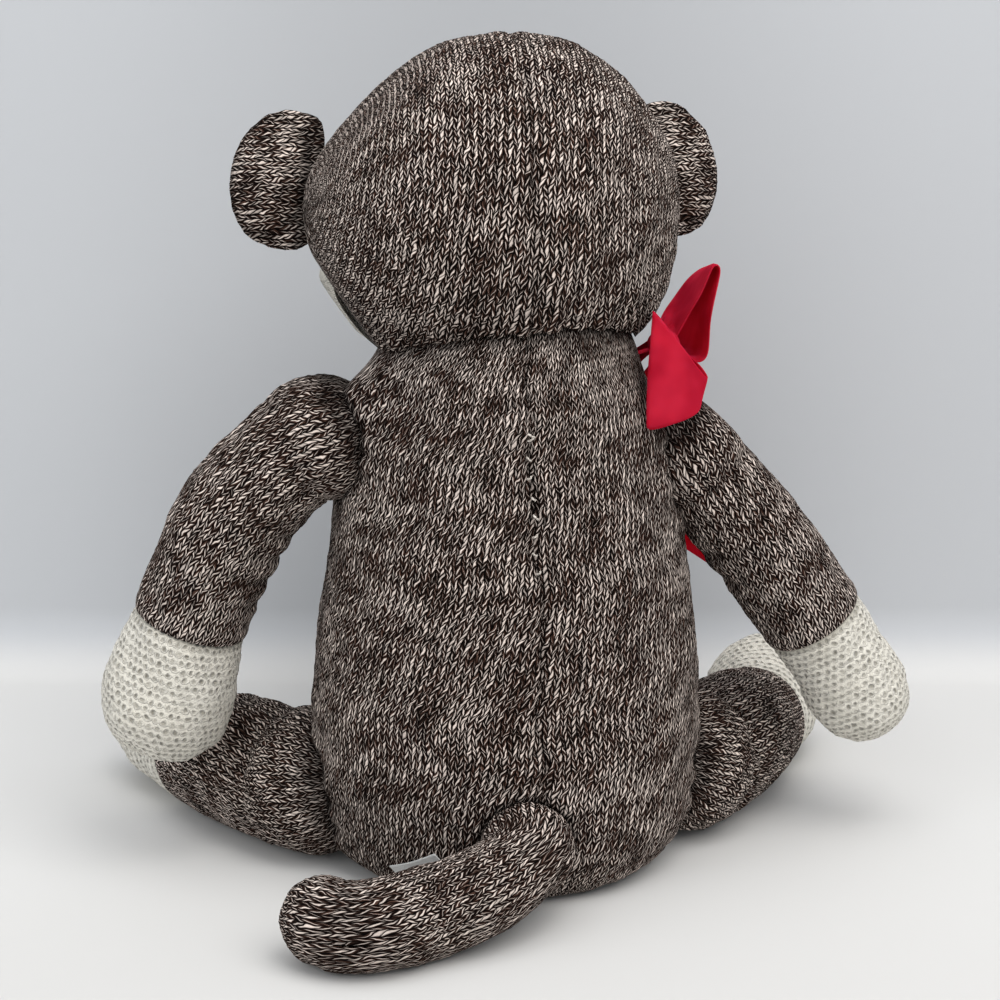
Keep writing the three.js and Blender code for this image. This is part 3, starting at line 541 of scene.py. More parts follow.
# Skins: a grid primitive whose points are laid on rows of places, so that its own map follows the surface.
# A closed skin's first and last rows are gathered to a point.
def makeSkin(name, places, wales, courses, look, creaseShade=0, closed=True):
    if closed:
        places[0] = places[0].mean(0)
        places[-1] = places[-1].mean(0)
    rows, columns = places.shape[0] - 1, places.shape[1] - 1
    wales, courses, creaseShade = (np.broadcast_to(layer, places.shape[:-1]) for layer in (wales, courses, creaseShade))
    choose()
    bpy.ops.mesh.primitive_grid_add(x_subdivisions=columns, y_subdivisions=rows, size=1, location=(0, 0, 0))
    piece = bpy.context.object
    piece.name = name
    piece.data.name = name
    mesh = piece.data
    flat = np.empty(len(mesh.vertices) * 3)
    mesh.vertices.foreach_get("co", flat)
    flat = flat.reshape(-1, 3)
    column = np.rint((flat[:, 0] + 0.5) * columns).astype(int)
    row = np.rint((flat[:, 1] + 0.5) * rows).astype(int)
    mesh.vertices.foreach_set("co", (places[row, column] * mm).ravel())
    corner = np.empty(len(mesh.loops), dtype=np.int32)
    mesh.loops.foreach_get("vertex_index", corner)
    layer = mesh.uv_layers[0]
    layer.name = "stitches"
    chart = np.stack((wales[row, column], courses[row, column]), -1)[corner]
    layer.data.foreach_set("uv", chart.ravel().astype(np.float32))
    # The point attribute holds painted shade, which the knit looks darken with.
    shade = np.clip(creaseShade[row, column], 0, 1).astype(np.float32)
    mesh.attributes.new("creaseShade", "FLOAT", "POINT").data.foreach_set("value", shade)
    bpy.ops.object.mode_set(mode="EDIT")
    bpy.ops.mesh.select_all(action="SELECT")
    bpy.ops.mesh.remove_doubles(threshold=0.000002)
    if closed:
        bpy.ops.mesh.normals_make_consistent(inside=False)
    bpy.ops.object.mode_set(mode="OBJECT")
    bpy.ops.object.shade_smooth()
    mesh.materials.append(looks[look])
    return piece


def thicken(piece, depth, offset=0):
    choose(piece)
    thickness = piece.modifiers.new("thickness", "SOLIDIFY")
    thickness.thickness = depth * mm
    thickness.offset = offset
    bpy.ops.object.modifier_apply(modifier="thickness")


def settle(piece, body, nodes):
    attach(piece, body)
    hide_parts(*nodes)


def settleAcross(piece, start, end, nodes):
    tuple(start * mm)
    tuple(end * mm)
    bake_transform(piece)
    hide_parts(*nodes)


knitCloth = {"wale": 3.0, "course": 2.72, "creamWale": 3.5, "creamCourse": 3.1, "spacing": 1.55}


# Body
body = {
    # height, half width, half depth, forward
    "rows": [
        (0, 0, 0, -2), (0, 30, 26, -2.2), (0.2, 46, 39, -2.3), (2.6, 57, 47.5, -1.7), (9.5, 66, 53, -1.2),
        (28, 72.6, 57, 0), (67, 76.5, 58, 2.9), (107, 72.6, 57, 2.9), (147, 65.6, 54.6, 1.7), (172, 61, 53, 0.6),
        (190, 56.5, 51.5, 0), (202, 52, 50.5, 0), (212, 47, 47.5, 0), (222, 40.5, 40.5, 0), (232, 30, 30, 0),
        (240, 12, 12, 0), (241.5, 0, 0, 0),
    ],
    "run": 330,
    "girth": 430,
    "waleRadius": 68,
    "neck": (0, 0, 190),
    "neckRadius": 51.6,
    "rootGap": 0.35,
    # height, sideways place of the back seam
    "seam": [(0, -6), (50, -5.5), (78, -3.2), (108, -4.6), (139, -2.6), (161, -1.2), (184, 1), (215, 0.3), (245, 0)],
    "seamDepth": 1.5,
    "seamHalf": 1.6,
    "seamEnds": (4, 18, 222, 236),
    "pinch": (0.3, 6.3),  # how much each closing stitch pulls, and how far apart they are
    "puckers": (0.25, 0.35, 9.1, 1.3),  # beside the seam: rise, waves on it, their length and their shift across
    "gathers": (0.7, 34),  # under the neck
    "folds": (0.85, 11, 11),  # into the limbs: depth, reach and count
    "shoulder": (50, 8, 191),  # the left shoulder is stuffed out beside the neck
    "shoulderWay": (12.5, 1, 0),
    "shoulderReach": 12.5,
    "leanLeft": 0.3,
    "leanRight": -0.03,
    "shade": 0.3,
}
roots = {
    "armLeft": ((71, -2, 174), 24), "armRight": ((-69, -2, 165), 24), "legLeft": ((75, -18, 29.7), 29.4),
    "legRight": ((-75, -18, 29.7), 29.4), "tail": ((2, 60, 27), 17.6),
}
neckPlace = np.array(body["neck"])
headTilt = rotation(3, "Z") @ rotation(13, "X")
headAxis = np.array(headTilt @ Vector((0, 0, 1)))


# How far the back seam strays from its line
def seamWander(height):
    return 0.9 * np.sin(height / 5.2) + 0.6 * np.sin(height / 11.0)


def makeBody():
    dense = closedCurve(body["rows"], 600)
    dense[:, 0] = np.clip(dense[:, 0], 0, None)
    profile, run = evenly(dense, int(body["run"] / knitCloth["spacing"]))
    height, halfWidth, halfDepth, forward = (axis[:, None] for axis in profile.T)
    turn = fullTurn(int(body["girth"] / knitCloth["spacing"]))
    seamPlace = np.interp(height, *np.array(body["seam"]).T)
    angle = np.pi / 2 - (seamPlace + seamWander(height)) / np.maximum(halfWidth, 20) - turn
    places = stack(halfWidth * np.cos(angle), halfDepth * np.sin(angle) - forward, height)
    wales = turn / (2 * np.pi) * round(2 * np.pi * body["waleRadius"] / knitCloth["wale"])
    courses = run / knitCloth["course"]
    left = 1 - smoothStep(turn, 0.2, 2.2)
    right = 1 - smoothStep(2 * np.pi - turn, 0.2, 2.2)
    lean = body["leanLeft"] * left - body["leanRight"] * right
    wales = wales + lean * (courses - courses.mean()) * 0.5
    # the seam's groove, pinched by its stitches
    gap = np.minimum(turn, 2 * np.pi - turn) * np.maximum(halfWidth, 20)
    low, full, fade, gone = body["seamEnds"]
    onBack = smoothStep(height, low, full) * (1 - smoothStep(height, fade, gone))
    pull, apart = body["pinch"]
    groove = hump(gap, body["seamHalf"]) * onBack * (1 + pull * np.sin(height * 2 * np.pi / apart))
    beside, waves, length, shift = body["puckers"]
    puckers = beside + waves * np.sin(height * 2 * np.pi / length + np.sign(np.pi - turn) * shift)
    rise = -body["seamDepth"] * groove + puckers * (hump(gap - 5.5, 3.2) * onBack)
    # gathers under the neck
    depth, count = body["gathers"]
    gathers = hump((places - neckPlace) @ headAxis - 14, 11)
    rise = rise + depth * gathers * np.sin(turn * count + 1.2 * np.sin(turn * 5))
    # folds that run in to the arms and legs
    depth, reach, count = body["folds"]
    for index, (centre, radius) in enumerate(roots.values()):
        away = places - np.array(centre)
        far = sizeOf(away)[..., 0]
        spoke = np.arctan2(away[..., 2], away[..., 1])
        near = hump(far - radius, reach) * (far > radius)
        rise = rise + near * (depth * np.sin(spoke * count + index * 1.7 + 2 * np.sin(spoke * 3)) + 0.8)
    places = places + outward(places) * rise[..., None]
    places = roughen(places, wales, stuffed, 3)
    # drawn in to the ball that the head sits on
    neckPull = smoothStep((places - neckPlace) @ headAxis, -16, 14)[..., None]
    away = places - neckPlace
    far = sizeOf(away)
    inside = neckPlace + away / np.maximum(far, 1e-6) * np.minimum(far, body["neckRadius"])
    places = places + (inside - places) * neckPull
    far = sizeOf(places - np.array(body["shoulder"]))
    places = places + np.array(body["shoulderWay"]) * hump(far, body["shoulderReach"])
    # Painted shade: in the back seam and round the roots of the limbs and tail.
    creaseShade = groove * 0.6
    for centre, radius in roots.values():
        far = sizeOf(places - np.array(centre))[..., 0]
        creaseShade = np.maximum(creaseShade, 1 - smoothStep(far - radius, 0.5, 4.5))
        places = outOfBall(places, centre, radius + body["rootGap"])
    # Painted shade low on the left side of the body and under the head.
    shade = body["shade"] * smoothStep(places[..., 0], -30, 40)
    creaseShade = np.maximum(creaseShade, shade * (1 - smoothStep(places[..., 2], 6, 62)))
    creaseShade = np.maximum(creaseShade, smoothStep((places - neckPlace) @ headAxis, 13, 20) * 0.7)
    places[..., 2] = np.maximum(places[..., 2], 0)
    piece = makeSkin("bodyCover", places, wales, courses, "marl_knit", creaseShade)
    settle(piece, "body", ["body_cover", "body_stuffing"])
    print("body made", len(piece.data.polygons))


makeBody()


# Head, made in its own frame at the neck and then tilted
head = {
    "centre": (3, 0, 70),
    "half": (71.5, 67, 65),
    "crown": 2.0,
    "jaw": 2.45,
    "crownLean": -6,
    "recess": 52.5,
    "run": 215,
    "girth": 430,
    "waleRadius": 74,
    # presses: a place on a plane, the way it faces, and how softly the head meets it, all in the doll's frame
    "presses": [
        ((55.5, 10, 294), (0.72, 0.05, 0.66), 9),
        ((-62, 5, 296), (-0.78, 0.0, 0.62), 8),
        ((60.6, 0, 223.6), (0.83, 0.04, -0.556), 3),
    ],
    "seam": 1.2,
    "seamHalf": 1.3,
    "puckers": (0.15, 0.3, 47, 1.2),
    "overSeam": 3.75,  # how far round the seam from ear to ear runs
    "pleat": (19, 0.78, 2.2),  # sideways, how far round, and depth
    "gathers": (0.8, 30),
    "waleLean": 0.07,
    "shade": 0.35,
}
headMiddle = np.array(head["centre"])


def headSkin(way):
    a, b, c = head["half"]
    flat = (way[..., 0] / a) ** 2 + (way[..., 1] / b) ** 2
    tall = way[..., 2] / c
    full = np.where(tall < 0, head["jaw"], head["crown"])
    far = (flat ** (full / 2) + np.abs(tall) ** full) ** (-1 / full)
    places = way * far[..., None]
    places[..., 0] += head["crownLean"] * np.clip(places[..., 2] / c, 0, 1) ** 2
    return places + headMiddle


def toDoll(places):
    return places @ np.array(headTilt).T + neckPlace


def pressed(places, press):
    place, facing, soft = press
    facing = np.array(facing) / np.linalg.norm(facing)
    past = (places - np.array(place)) @ facing
    over = 0.5 * (past + np.sqrt(past ** 2 + soft ** 2))
    return places - facing * over[..., None] * smoothStep(past, -soft * 2, soft)[..., None]


# Turn 0 points down, a quarter turn to the back, a half up and three quarters to the face.
def makeHead():
    slope = halfTurn(int(head["run"] / knitCloth["spacing"]))
    turn = fullTurn(int(head["girth"] / knitCloth["spacing"]))
    places = headSkin(stack(np.cos(slope), np.sin(slope) * np.sin(turn), -np.sin(slope) * np.cos(turn)))
    radius, depth = head["waleRadius"], head["half"][1]
    sideways = places[..., 0] - head["centre"][0]
    wales = np.arcsin(np.clip(sideways / radius, -1, 1)) * radius / knitCloth["wale"]
    courses = turn / (2 * np.pi) * round(2 * np.pi * depth / knitCloth["course"])
    # the two back halves meet at a seam, and their wales lean apart below
    low = smoothStep(courses / courses.max(), 0.05, 0.5)
    crown = head["crownLean"] * np.clip((places[..., 2] - head["centre"][2]) / head["half"][2], 0, 1) ** 2
    off = sideways - crown - (0.5 * np.sin(turn * 31) + 0.4 * np.sin(turn * 17)) + 2
    lean = head["waleLean"] * np.tanh(off / 50)
    wales = wales * (1 + 0.06 * (1 - low)) + lean * (courses - courses.max() / 2) * (1 - low)
    gap = np.abs(off)
    back = smoothStep(turn, 0.3, 0.7) * (1 - smoothStep(turn, 3.4, 3.8))
    groove = hump(gap, head["seamHalf"]) * back
    over = hump((turn - head["overSeam"]) * depth, 2.2) * smoothStep(np.sin(slope), 0.25, 0.5)
    aside, around, fold = head["pleat"]
    pleat = hump(sideways - aside, 1.6) * hump(turn - around, 0.12)
    beside, waves, count, shift = head["puckers"]
    puckers = beside + waves * np.sin(turn * count + np.sign(sideways) * shift)
    rise = -head["seam"] * groove + puckers * (hump(gap - 4, 3) * back) - over - fold * pleat
    gathered, count = head["gathers"]
    gathers = hump(places[..., 2] - 24, 12) * (np.abs(np.sin(slope)) > 0.3)
    rise = rise + gathered * gathers * np.sin(np.arctan2(places[..., 1], places[..., 0]) * count)
    places = places + outward(places) * rise[..., None]
    places = roughen(places, wales, stuffed, 11)
    # Painted shade in the back seam, in the seam over the crown and in the pleat.
    creaseShade = np.maximum(np.maximum(groove * 0.6, over * 0.5), pleat * 0.8)
    # hollows for the ears and the neck
    for side in ("left", "right"):
        hinge = np.array(ears[side]["hinge"])
        lean = math.radians(ears["lean"]) * ears[side]["side"]
        reach = ears["rootHalf"] * np.array((-math.sin(lean), 0, math.cos(lean)))
        down, line = hinge - reach, 2 * reach
        share = np.clip(((places - down) @ line) / (line @ line), 0, 1)[..., None]
        middle = down + share * line
        wanted = ears["rootRadius"] + ears["rootGap"]
        # Painted shade round the roots of the ears.
        creaseShade = np.maximum(creaseShade, 1 - smoothStep(sizeOf(places - middle)[..., 0] - wanted, 0.3, 3.5))
        places = outOfBall(places, middle, wanted)
    flat = np.hypot(places[..., 0], places[..., 1])
    roof = np.sqrt(np.clip(head["recess"] ** 2 - flat ** 2, 0, None))
    # Painted shade where the head sits on the neck.
    creaseShade = np.maximum(creaseShade, (1 - smoothStep(places[..., 2] - roof, 0.3, 3.2)) * (flat < head["recess"] + 3))
    places[..., 2] = np.where(flat < head["recess"], np.maximum(places[..., 2], roof), places[..., 2])
    places = toDoll(places)
    for press in head["presses"]:
        places = pressed(places, press)
    # Painted shade low on the left side of the head.
    shade = head["shade"] * smoothStep(places[..., 0], -20, 35)
    creaseShade = np.maximum(creaseShade, shade * (1 - smoothStep(places[..., 2], 205, 252)))
    piece = makeSkin("headCover", places, wales, courses, "marl_knit", creaseShade)
    settle(piece, "head", ["head_cover", "head_stuffing"])
    print("head made", len(piece.data.polygons))


# Ears: two cupped layers sewn round their edge
ears = {
    "reach": 28.5,
    "half": 27,
    "thick": 5.6,
    "sweep": 15,  # degrees that an ear is turned to the front
    "lean": 10,  # degrees that its top leans towards the head
    "height": 0.2,  # share of the head's half height
    "rootRadius": 4.6,
    "rootHalf": 20,
    "rootGap": 0.4,
    "bends": (1, 9),  # out from its root: two distances along the ear
    "cup": 3.2,
    "rim": 0.45,
    "left": {"hinge": None, "side": 1, "seed": 31},
    "right": {"hinge": None, "side": -1, "seed": 32},
    # reach share, half height share, half thickness share
    "rows": [
        (-0.2, 0.0, 0.0), (-0.19, 0.7, 0.5), (-0.08, 0.93, 0.8), (0.14, 0.98, 0.85), (0.4, 0.97, 1),
        (0.66, 0.84, 0.96), (0.86, 0.58, 0.78), (0.96, 0.32, 0.5), (1, 0, 0),
    ],
    "steps": 34,
    "columns": 96,
}


def placeEars():
    share = ears["height"]
    a, b, c = head["half"]
    width = (1 - share ** head["crown"]) ** (1 / head["crown"])
    sweep = math.radians(ears["sweep"])
    reach = 1 / math.hypot(math.cos(sweep) / a, math.sin(sweep) / b) * width + 1.6
    for side in ("left", "right"):
        sign = ears[side]["side"]
        x = sign * reach * math.cos(sweep) + head["centre"][0] + head["crownLean"] * share ** 2
        ears[side]["hinge"] = (x, -reach * math.sin(sweep), c * share + head["centre"][2])


def makeEar(side):
    sign, hinge = ears[side]["side"], np.array(ears[side]["hinge"])
    scaled = closedCurve(ears["rows"], 200) * np.array((ears["reach"], ears["half"], ears["thick"]))
    profile, _ = evenly(scaled, ears["steps"])
    turn = fullTurn(ears["columns"])
    out, tall, thick = (axis[:, None] for axis in profile.T)
    z = tall * np.cos(turn)
    y = thick * np.sign(np.sin(turn)) * np.abs(np.sin(turn)) ** 0.8
    # the middle is cupped to the front, and the sewn rim is thin
    edge = np.hypot((out - 13) / 17, z / ears["half"])
    cup = ears["cup"] * (1 - smoothStep(edge, 0.0, 0.95))
    rim = 1 - ears["rim"] * smoothStep(edge, 0.72, 0.9) + 0.3 * smoothStep(edge, 0.9, 1.0)
    own = stack(out, y * rim + cup, z)
    wales = z / knitCloth["wale"] + 40 * (np.sin(turn) > 0)
    courses = out / knitCloth["course"] + 3
    own = roughen(own, wales, {**stuffed, "lump": 0.25, "dent": 0.2, "yarn": 0.12}, ears[side]["seed"])
    # Painted shade along the sewn rim and at the root.
    creaseShade = hump(edge - 0.86, 0.05) * 0.7 + (1 - smoothStep(out, -1, 3.5)) * 0.8
    turned = rotation(-ears["sweep"] if sign > 0 else 180 + ears["sweep"], "Z")
    spin = np.array(rotation(-ears["lean"] * sign, "Y") @ turned)
    places = toDoll((own * np.array((1, sign, 1))) @ spin.T + hinge)
    piece = makeSkin("ear" + side.title(), places, wales, courses, "marl_knit", creaseShade)
    way = np.array(headTilt @ (turned @ Vector((1, 0, 0))))
    start, end = (toDoll(hinge) + way * out for out in ears["bends"])
    nodes = [f"ear_cover_{side}", f"ear_batting_{side}"]
    settleAcross(piece, start, end, nodes)


placeEars()
makeHead()
makeEar("left")
makeEar("right")
print("ears made")


# Limbs: tubes round a middle line, with a ball for a root. A droop or splay goes from its first angle to its last.
limbs = {
    "arm": {
        "length": 151, "end": 59, "radius": 22.4, "endRadius": 22.4, "root": 24, "joint": 19.9, "tip": 21,
        "steps": 12,
        "sleeveRows": [(0, 0.95), (0.1, 0.97), (0.3, 1.01), (0.5, 1), (0.67, 0.985)],
        "endRows": [(0, 0.93), (0.1, 0.97), (0.35, 1.0), (0.6, 1.03), (1, 0.98)],
        "lead": (0, 1, 0), "cover": "sleeve", "endName": "hand",
    },
    "leg": {
        "length": 130, "end": 56, "radius": 27.4, "endRadius": 25.2, "root": 29.4, "joint": 21, "tip": 24,
        "steps": 10,
        "sleeveRows": [(0, 0.93), (0.1, 0.96), (0.28, 1), (0.44, 0.93), (0.57, 0.85)],
        "endRows": [(0, 0.87), (0.13, 0.87), (0.42, 0.98), (0.7, 1.04), (1, 1)],
        "lead": (0, 0, 1), "cover": "cover", "endName": "foot",
    },
    # folds: place along, degrees round, depth, width, spread
    "armLeft": {
        "pivot": (71, -2, 174), "side": 1, "angles": (30, 74), "sharp": 3, "forward": 6, "seed": 41,
        "sleeveShare": 1, "endShare": 1.1,
        "folds": [(50, 18, 1.2, 2.6, 44), (62, 28, 1.0, 2.4, 40), (74, 22, 0.8, 2.2, 36), (38, 30, 0.8, 2.2, 36)],
    },
    "armRight": {
        "pivot": (-69, -2, 165), "side": -1, "angles": (50, 60), "sharp": 1, "forward": 3, "seed": 51,
        "sleeveShare": 0.93, "endShare": 0.87, "press": ((-88.7, 0, 172.4), (-0.693, -0.084, 0.716), 5),
        "folds": [(40, 160, 0.9, 2.6, 36), (54, 172, 0.7, 2.4, 34)],
    },
    "legLeft": {
        "pivot": (75, -18, 29.7), "side": 1, "angles": (41, 2), "sharp": 0.6, "seed": 61,
        "sleeveShare": 1, "endShare": 1, "folds": [(40, 90, 1.2, 3, 30), (58, 60, 0.8, 2.6, 26)],
    },
    "legRight": {
        "pivot": (-75, -18, 29.7), "side": -1, "angles": (46, 18), "sharp": 1.3, "seed": 71,
        "sleeveShare": 1, "endShare": 1, "folds": [(44, 90, 1.2, 3, 30), (58, 110, 0.8, 2.6, 26)],
    },
    "cupGap": 0.35,
    "gather": (0.6, 14, 12, 13),  # at a limb's root: depth, place along, width and count
    "hem": 0.35,
    "crossing": 16,  # a distance past a hand's or foot's joint, along its route
}


def readRows(rows):
    dense = curveThrough(rows, 120)
    return lambda share: np.interp(share, dense[:, 0], dense[:, 1])


class Route:
    def __init__(self, points):
        self.points = curveThrough(points, 400)
        self.run = runAlong(self.points)
        self.length = self.run[-1]

    def on(self, distance):
        return between(np.clip(distance, 0, self.length), self.run, self.points)

    def at(self, distance):
        distance = np.asarray(distance, float)
        held = np.clip(distance, 0, self.length)
        along = self.on(held + 2) - self.on(held - 2)
        along /= sizeOf(along)
        return self.on(held) + along * (distance - held)[..., None], along


# A ring of places round the route at each station, and the way out from the middle line
def wrap(route, stations, lead, columns):
    middle, along = route.at(stations[:, 0])
    across = np.cross(np.array(lead, float), along)
    across /= sizeOf(across)
    over = np.cross(along, across)
    turn = fullTurn(columns)
    ring = across[:, None] * np.cos(turn)[..., None] + over[:, None] * np.sin(turn)[..., None]
    places = middle[:, None] + ring * stations[:, 1][:, None, None]
    return places, turn, unit(places - middle[:, None])


def rootArc(at, root, girth):
    waist = math.pi - math.asin(min(girth / root, 1))
    angle = np.linspace(0, waist, 60)
    return np.stack((at - root * np.cos(angle), root * np.sin(angle)), -1)


# Stations of a tube with a ball for its root and a round tip
def roundTube(start, root, radiusAt, reach, tip, steps, rows):
    arc = rootArc(start, root, float(min(radiusAt(0.0), root * 0.998)))
    along = np.linspace(arc[-1, 0] - start, reach, steps)[1:]
    wall = np.stack((along + start, radiusAt(along)), -1)
    turn = np.linspace(0, np.pi / 2, 50)[1:]
    cap = np.stack((start + reach + tip * np.sin(turn), radiusAt(reach) * np.cos(turn) ** 0.9), -1)
    return evenly(np.concatenate((arc, wall, cap)), rows)


def legRadius(distance):
    leg = limbs["leg"]
    sleeve = leg["radius"] * readRows(leg["sleeveRows"])(distance / leg["length"])
    ankle = leg["length"] - leg["end"]
    foot = leg["endRadius"] * readRows(leg["endRows"])((distance - ankle) / leg["end"])
    return sleeve if distance < ankle else max(sleeve * 0.96, foot)


# An arm droops and leans forward. A leg lies on the floor, so its height is its own radius.
def limbRoute(own, shared):
    places = [np.array(own["pivot"], float)]
    stride = shared["length"] / shared["steps"]
    first, last = own["angles"]
    for step in range(shared["steps"]):
        bend = 1 - (1 - step / (shared["steps"] - 1)) ** own["sharp"]
        angle = math.radians(first + (last - first) * bend)
        x, y, _ = places[-1]
        if "forward" in own:
            lean = math.radians(own["forward"])
            fall = math.sin(angle) * math.cos(lean)
            move = np.array((own["side"] * math.cos(angle) * math.cos(lean), -math.sin(lean), -fall))
            places.append(places[-1] + move * stride)
        else:
            x, y = x + own["side"] * stride * math.sin(angle), y - stride * math.cos(angle)
            places.append(np.array((x, y, legRadius(stride * (step + 1)) - 0.3)))
    return Route(places)


def makeSleeve(name, route, own, shared):
    cut = shared["length"] - shared["end"]
    share = own["sleeveShare"]
    girth = readRows(shared["sleeveRows"])
    radius = lambda d: shared["radius"] * share * girth(d / shared["length"])
    # the root's ball, the wall, the hem, and the cup that the hand or foot turns in
    arc = rootArc(0, shared["root"], float(radius(0)))
    along = np.linspace(arc[-1, 0], cut, 120)[1:]
    wall = np.stack((along, radius(along)), -1)
    cup = shared["joint"] * share + limbs["cupGap"]
    last = radius(cut)
    hem = np.array(((cut + 0.9, last - 0.5), (cut + 1.2, last - 1.2), (cut + 0.6, max(last - 2.0, cup * 0.999))))
    turn = np.linspace(0.02, np.pi / 2, 60)
    hollow = np.stack((cut - cup * np.sin(turn), cup * np.cos(turn)), -1)
    stations, run = evenly(np.concatenate((arc, wall, hem, hollow)), int(260 / knitCloth["spacing"] / 1.25))
    distance = stations[:, :1]
    columns = int(2 * np.pi * shared["radius"] / knitCloth["spacing"])
    places, turn, facing = wrap(route, stations, shared["lead"], columns)
    wales = turn / (2 * np.pi) * round(2 * np.pi * shared["radius"] * share / knitCloth["wale"])
    courses = -run / knitCloth["course"] + 200
    rise = np.zeros(places.shape[:2])
    creaseShade = np.zeros(places.shape[:2])
    for place, angle, depth, width, spread in own["folds"]:
        off = np.abs((turn - math.radians(angle) + np.pi) % (2 * np.pi) - np.pi)
        near = hump(off, math.radians(spread))
        bite = hump(distance - place - 2.5 * np.sin(off * 3), width) * near
        rise = rise - depth * bite + 0.45 * depth * hump(distance - place - 2.6 * width, width * 1.4) * near
        # Painted shade in the folds.
        creaseShade = np.maximum(creaseShade, bite * 0.55)
    depth, place, width, count = limbs["gather"]
    rise = rise + depth * (hump(distance - place, width) * np.sin(turn * count + own["seed"]))
    hemRise = limbs["hem"] * hump(distance - cut + 2.5, 1.6) * (stations[:, 1:] > cup)
    skin = smoothStep(run, 20, 40) * (1 - smoothStep(run, run[-1, 0] - 46, run[-1, 0] - 36))
    places = places + facing * (rise * skin + hemRise)[..., None]
    weight = np.maximum(skin, smoothStep(run, 8, 22) * (1 - smoothStep(run, 30, 40)))
    places = roughen(places, wales, stuffed, own["seed"], weight)
    if "press" in own:
        places = pressed(places, own["press"])
    places[..., 2] = np.maximum(places[..., 2], 0)
    # Painted shade at the root.
    creaseShade = creaseShade + (1 - smoothStep(run, 24, 34)) * 0.8
    return makeSkin(name, places, wales, courses, "marl_knit", creaseShade)


def makeEnd(name, route, own, shared):
    cut = shared["length"] - shared["end"]
    rows = readRows(shared["endRows"])

    # a hand or foot swells from the sleeve's size to its own
    def radiusAt(distance):
        reached = np.clip(distance / shared["end"] / 0.4, 0, 1)
        share = own["sleeveShare"] + (own["endShare"] - own["sleeveShare"]) * reached
        return shared["endRadius"] * rows(distance / shared["end"]) * share

    tip = shared["tip"] * own["endShare"]
    reach = shared["end"] - tip
    stations, run = roundTube(cut, shared["joint"] * own["sleeveShare"], radiusAt, reach, tip, 80, 58)
    girth = 2 * np.pi * radiusAt(reach)
    places, turn, _ = wrap(route, stations, shared["lead"], int(girth / 1.7))
    wales = turn / (2 * np.pi) * round(girth / knitCloth["creamWale"])
    courses = run / knitCloth["creamCourse"]
    settings = {**stuffed, "rib": 0.0, "yarn": 0.17, "dent": 0.3, "lump": 0.6}
    places = roughen(places, wales, settings, own["seed"] + 4, smoothStep(run, 24, 36))
    places[..., 2] = np.maximum(places[..., 2], 0)
    # Painted shade where the hand or foot goes into its sleeve.
    creaseShade = 1 - smoothStep(stations[:, :1] - cut, 0.5, 5)
    return makeSkin(name, places, wales, courses, "cream_knit", creaseShade)


def makeLimb(kind, side):
    name, shared = kind + side.title(), limbs[kind]
    own, cover, end = limbs[name], shared["cover"], shared["endName"]
    route = limbRoute(own, shared)
    piece = makeSleeve(name, route, own, shared)
    settle(piece, f"{kind}_{side}", [f"{kind}_{cover}_{side}", f"{kind}_stuffing_{side}"])
    piece = makeEnd(end + side.title(), route, own, shared)
    cut = shared["length"] - shared["end"]
    start, finish = route.at(cut)[0], route.at(cut + limbs["crossing"])[0]
    nodes = [f"{end}_cover_{side}", f"{end}_stuffing_{side}"]
    settleAcross(piece, start, finish, nodes)


for kind in ("arm", "leg"):
    for side in ("left", "right"):
        makeLimb(kind, side)
    print(f"{kind}s made")


# Tail
tail = {
    "pivot": (2, 60, 27),
    "length": 112,
    "radius": 16.6,
    "root": 17.6,
    "tip": 12,
    # along the route: shares of the length aside and back, and share of the drop to the floor
    "route": [(0, 0, 0), (0.037, 0.095, 0.1), (0.169, 0.174, 0.55), (0.369, 0.247, 0.95), (0.548, 0.316, 1),
              (0.665, 0.295, 1), (0.735, 0.215, 1), (0.765, 0.15, 1)],
    "rows": [(0, 0.9), (0.08, 0.91), (0.3, 1), (0.7, 1), (1, 0.97)],
    "seam": (1.02, 1.8, 1.3),  # half turns round, width and depth
    "bend": (84, 4, 1.5),  # the fold near the tip: place along, width and depth
}


def makeTail():
    pivot = np.array(tail["pivot"], float)
    drop = tail["pivot"][2] - tail["radius"] + 0.5
    points = [pivot + np.array((side * tail["length"], back * tail["length"], -down * drop))
              for side, back, down in tail["route"]]
    route = Route(points)
    girth = readRows(tail["rows"])
    radius = lambda d: tail["radius"] * girth(d / tail["length"])
    stations, run = roundTube(0, tail["root"], radius, route.length - tail["tip"], tail["tip"], 120, 96)
    around = 2 * np.pi * tail["radius"]
    places, turn, facing = wrap(route, stations, (0, 0, 1), int(around / knitCloth["spacing"]))
    wales = turn / (2 * np.pi) * round(around / knitCloth["wale"])
    at, width, depth = tail["seam"]
    seam = hump((turn - np.pi * at) * tail["radius"], width) * smoothStep(run, 22, 30)
    place, long, fold = tail["bend"]
    bend = hump(stations[:, :1] - place, long) * hump(turn - 0.1, 0.9)
    places = places + facing * (-depth * seam - fold * bend)[..., None]
    places = roughen(places, wales, stuffed, 81, smoothStep(run, 8, 20))
    places[..., 2] = np.maximum(places[..., 2], 0)
    # Painted shade in the seam, at the root and in the fold near the tip.
    creaseShade = np.maximum(seam * 0.8, 1 - smoothStep(run, 18, 26)) + bend * 0.4
    piece = makeSkin("tail", places, wales, run / knitCloth["course"], "marl_knit", creaseShade)
    settle(piece, "tail", ["tail_cover", "tail_stuffing"])
    print("tail made")


makeTail()


# Muzzle and face
muzzle = {
    "centre": (3, -56.3, 44),
    "half": (60, 44, 29),
    "gap": 0.4,  # how far it is held off the head's own skin
    "neck": 52.6,
    "proud": 2.6,  # how far it stands out past the cheek's press
    "rows": 90,
    "columns": 150,
    "courseRadius": 36,
}
muzzleMiddle = np.array(muzzle["centre"])


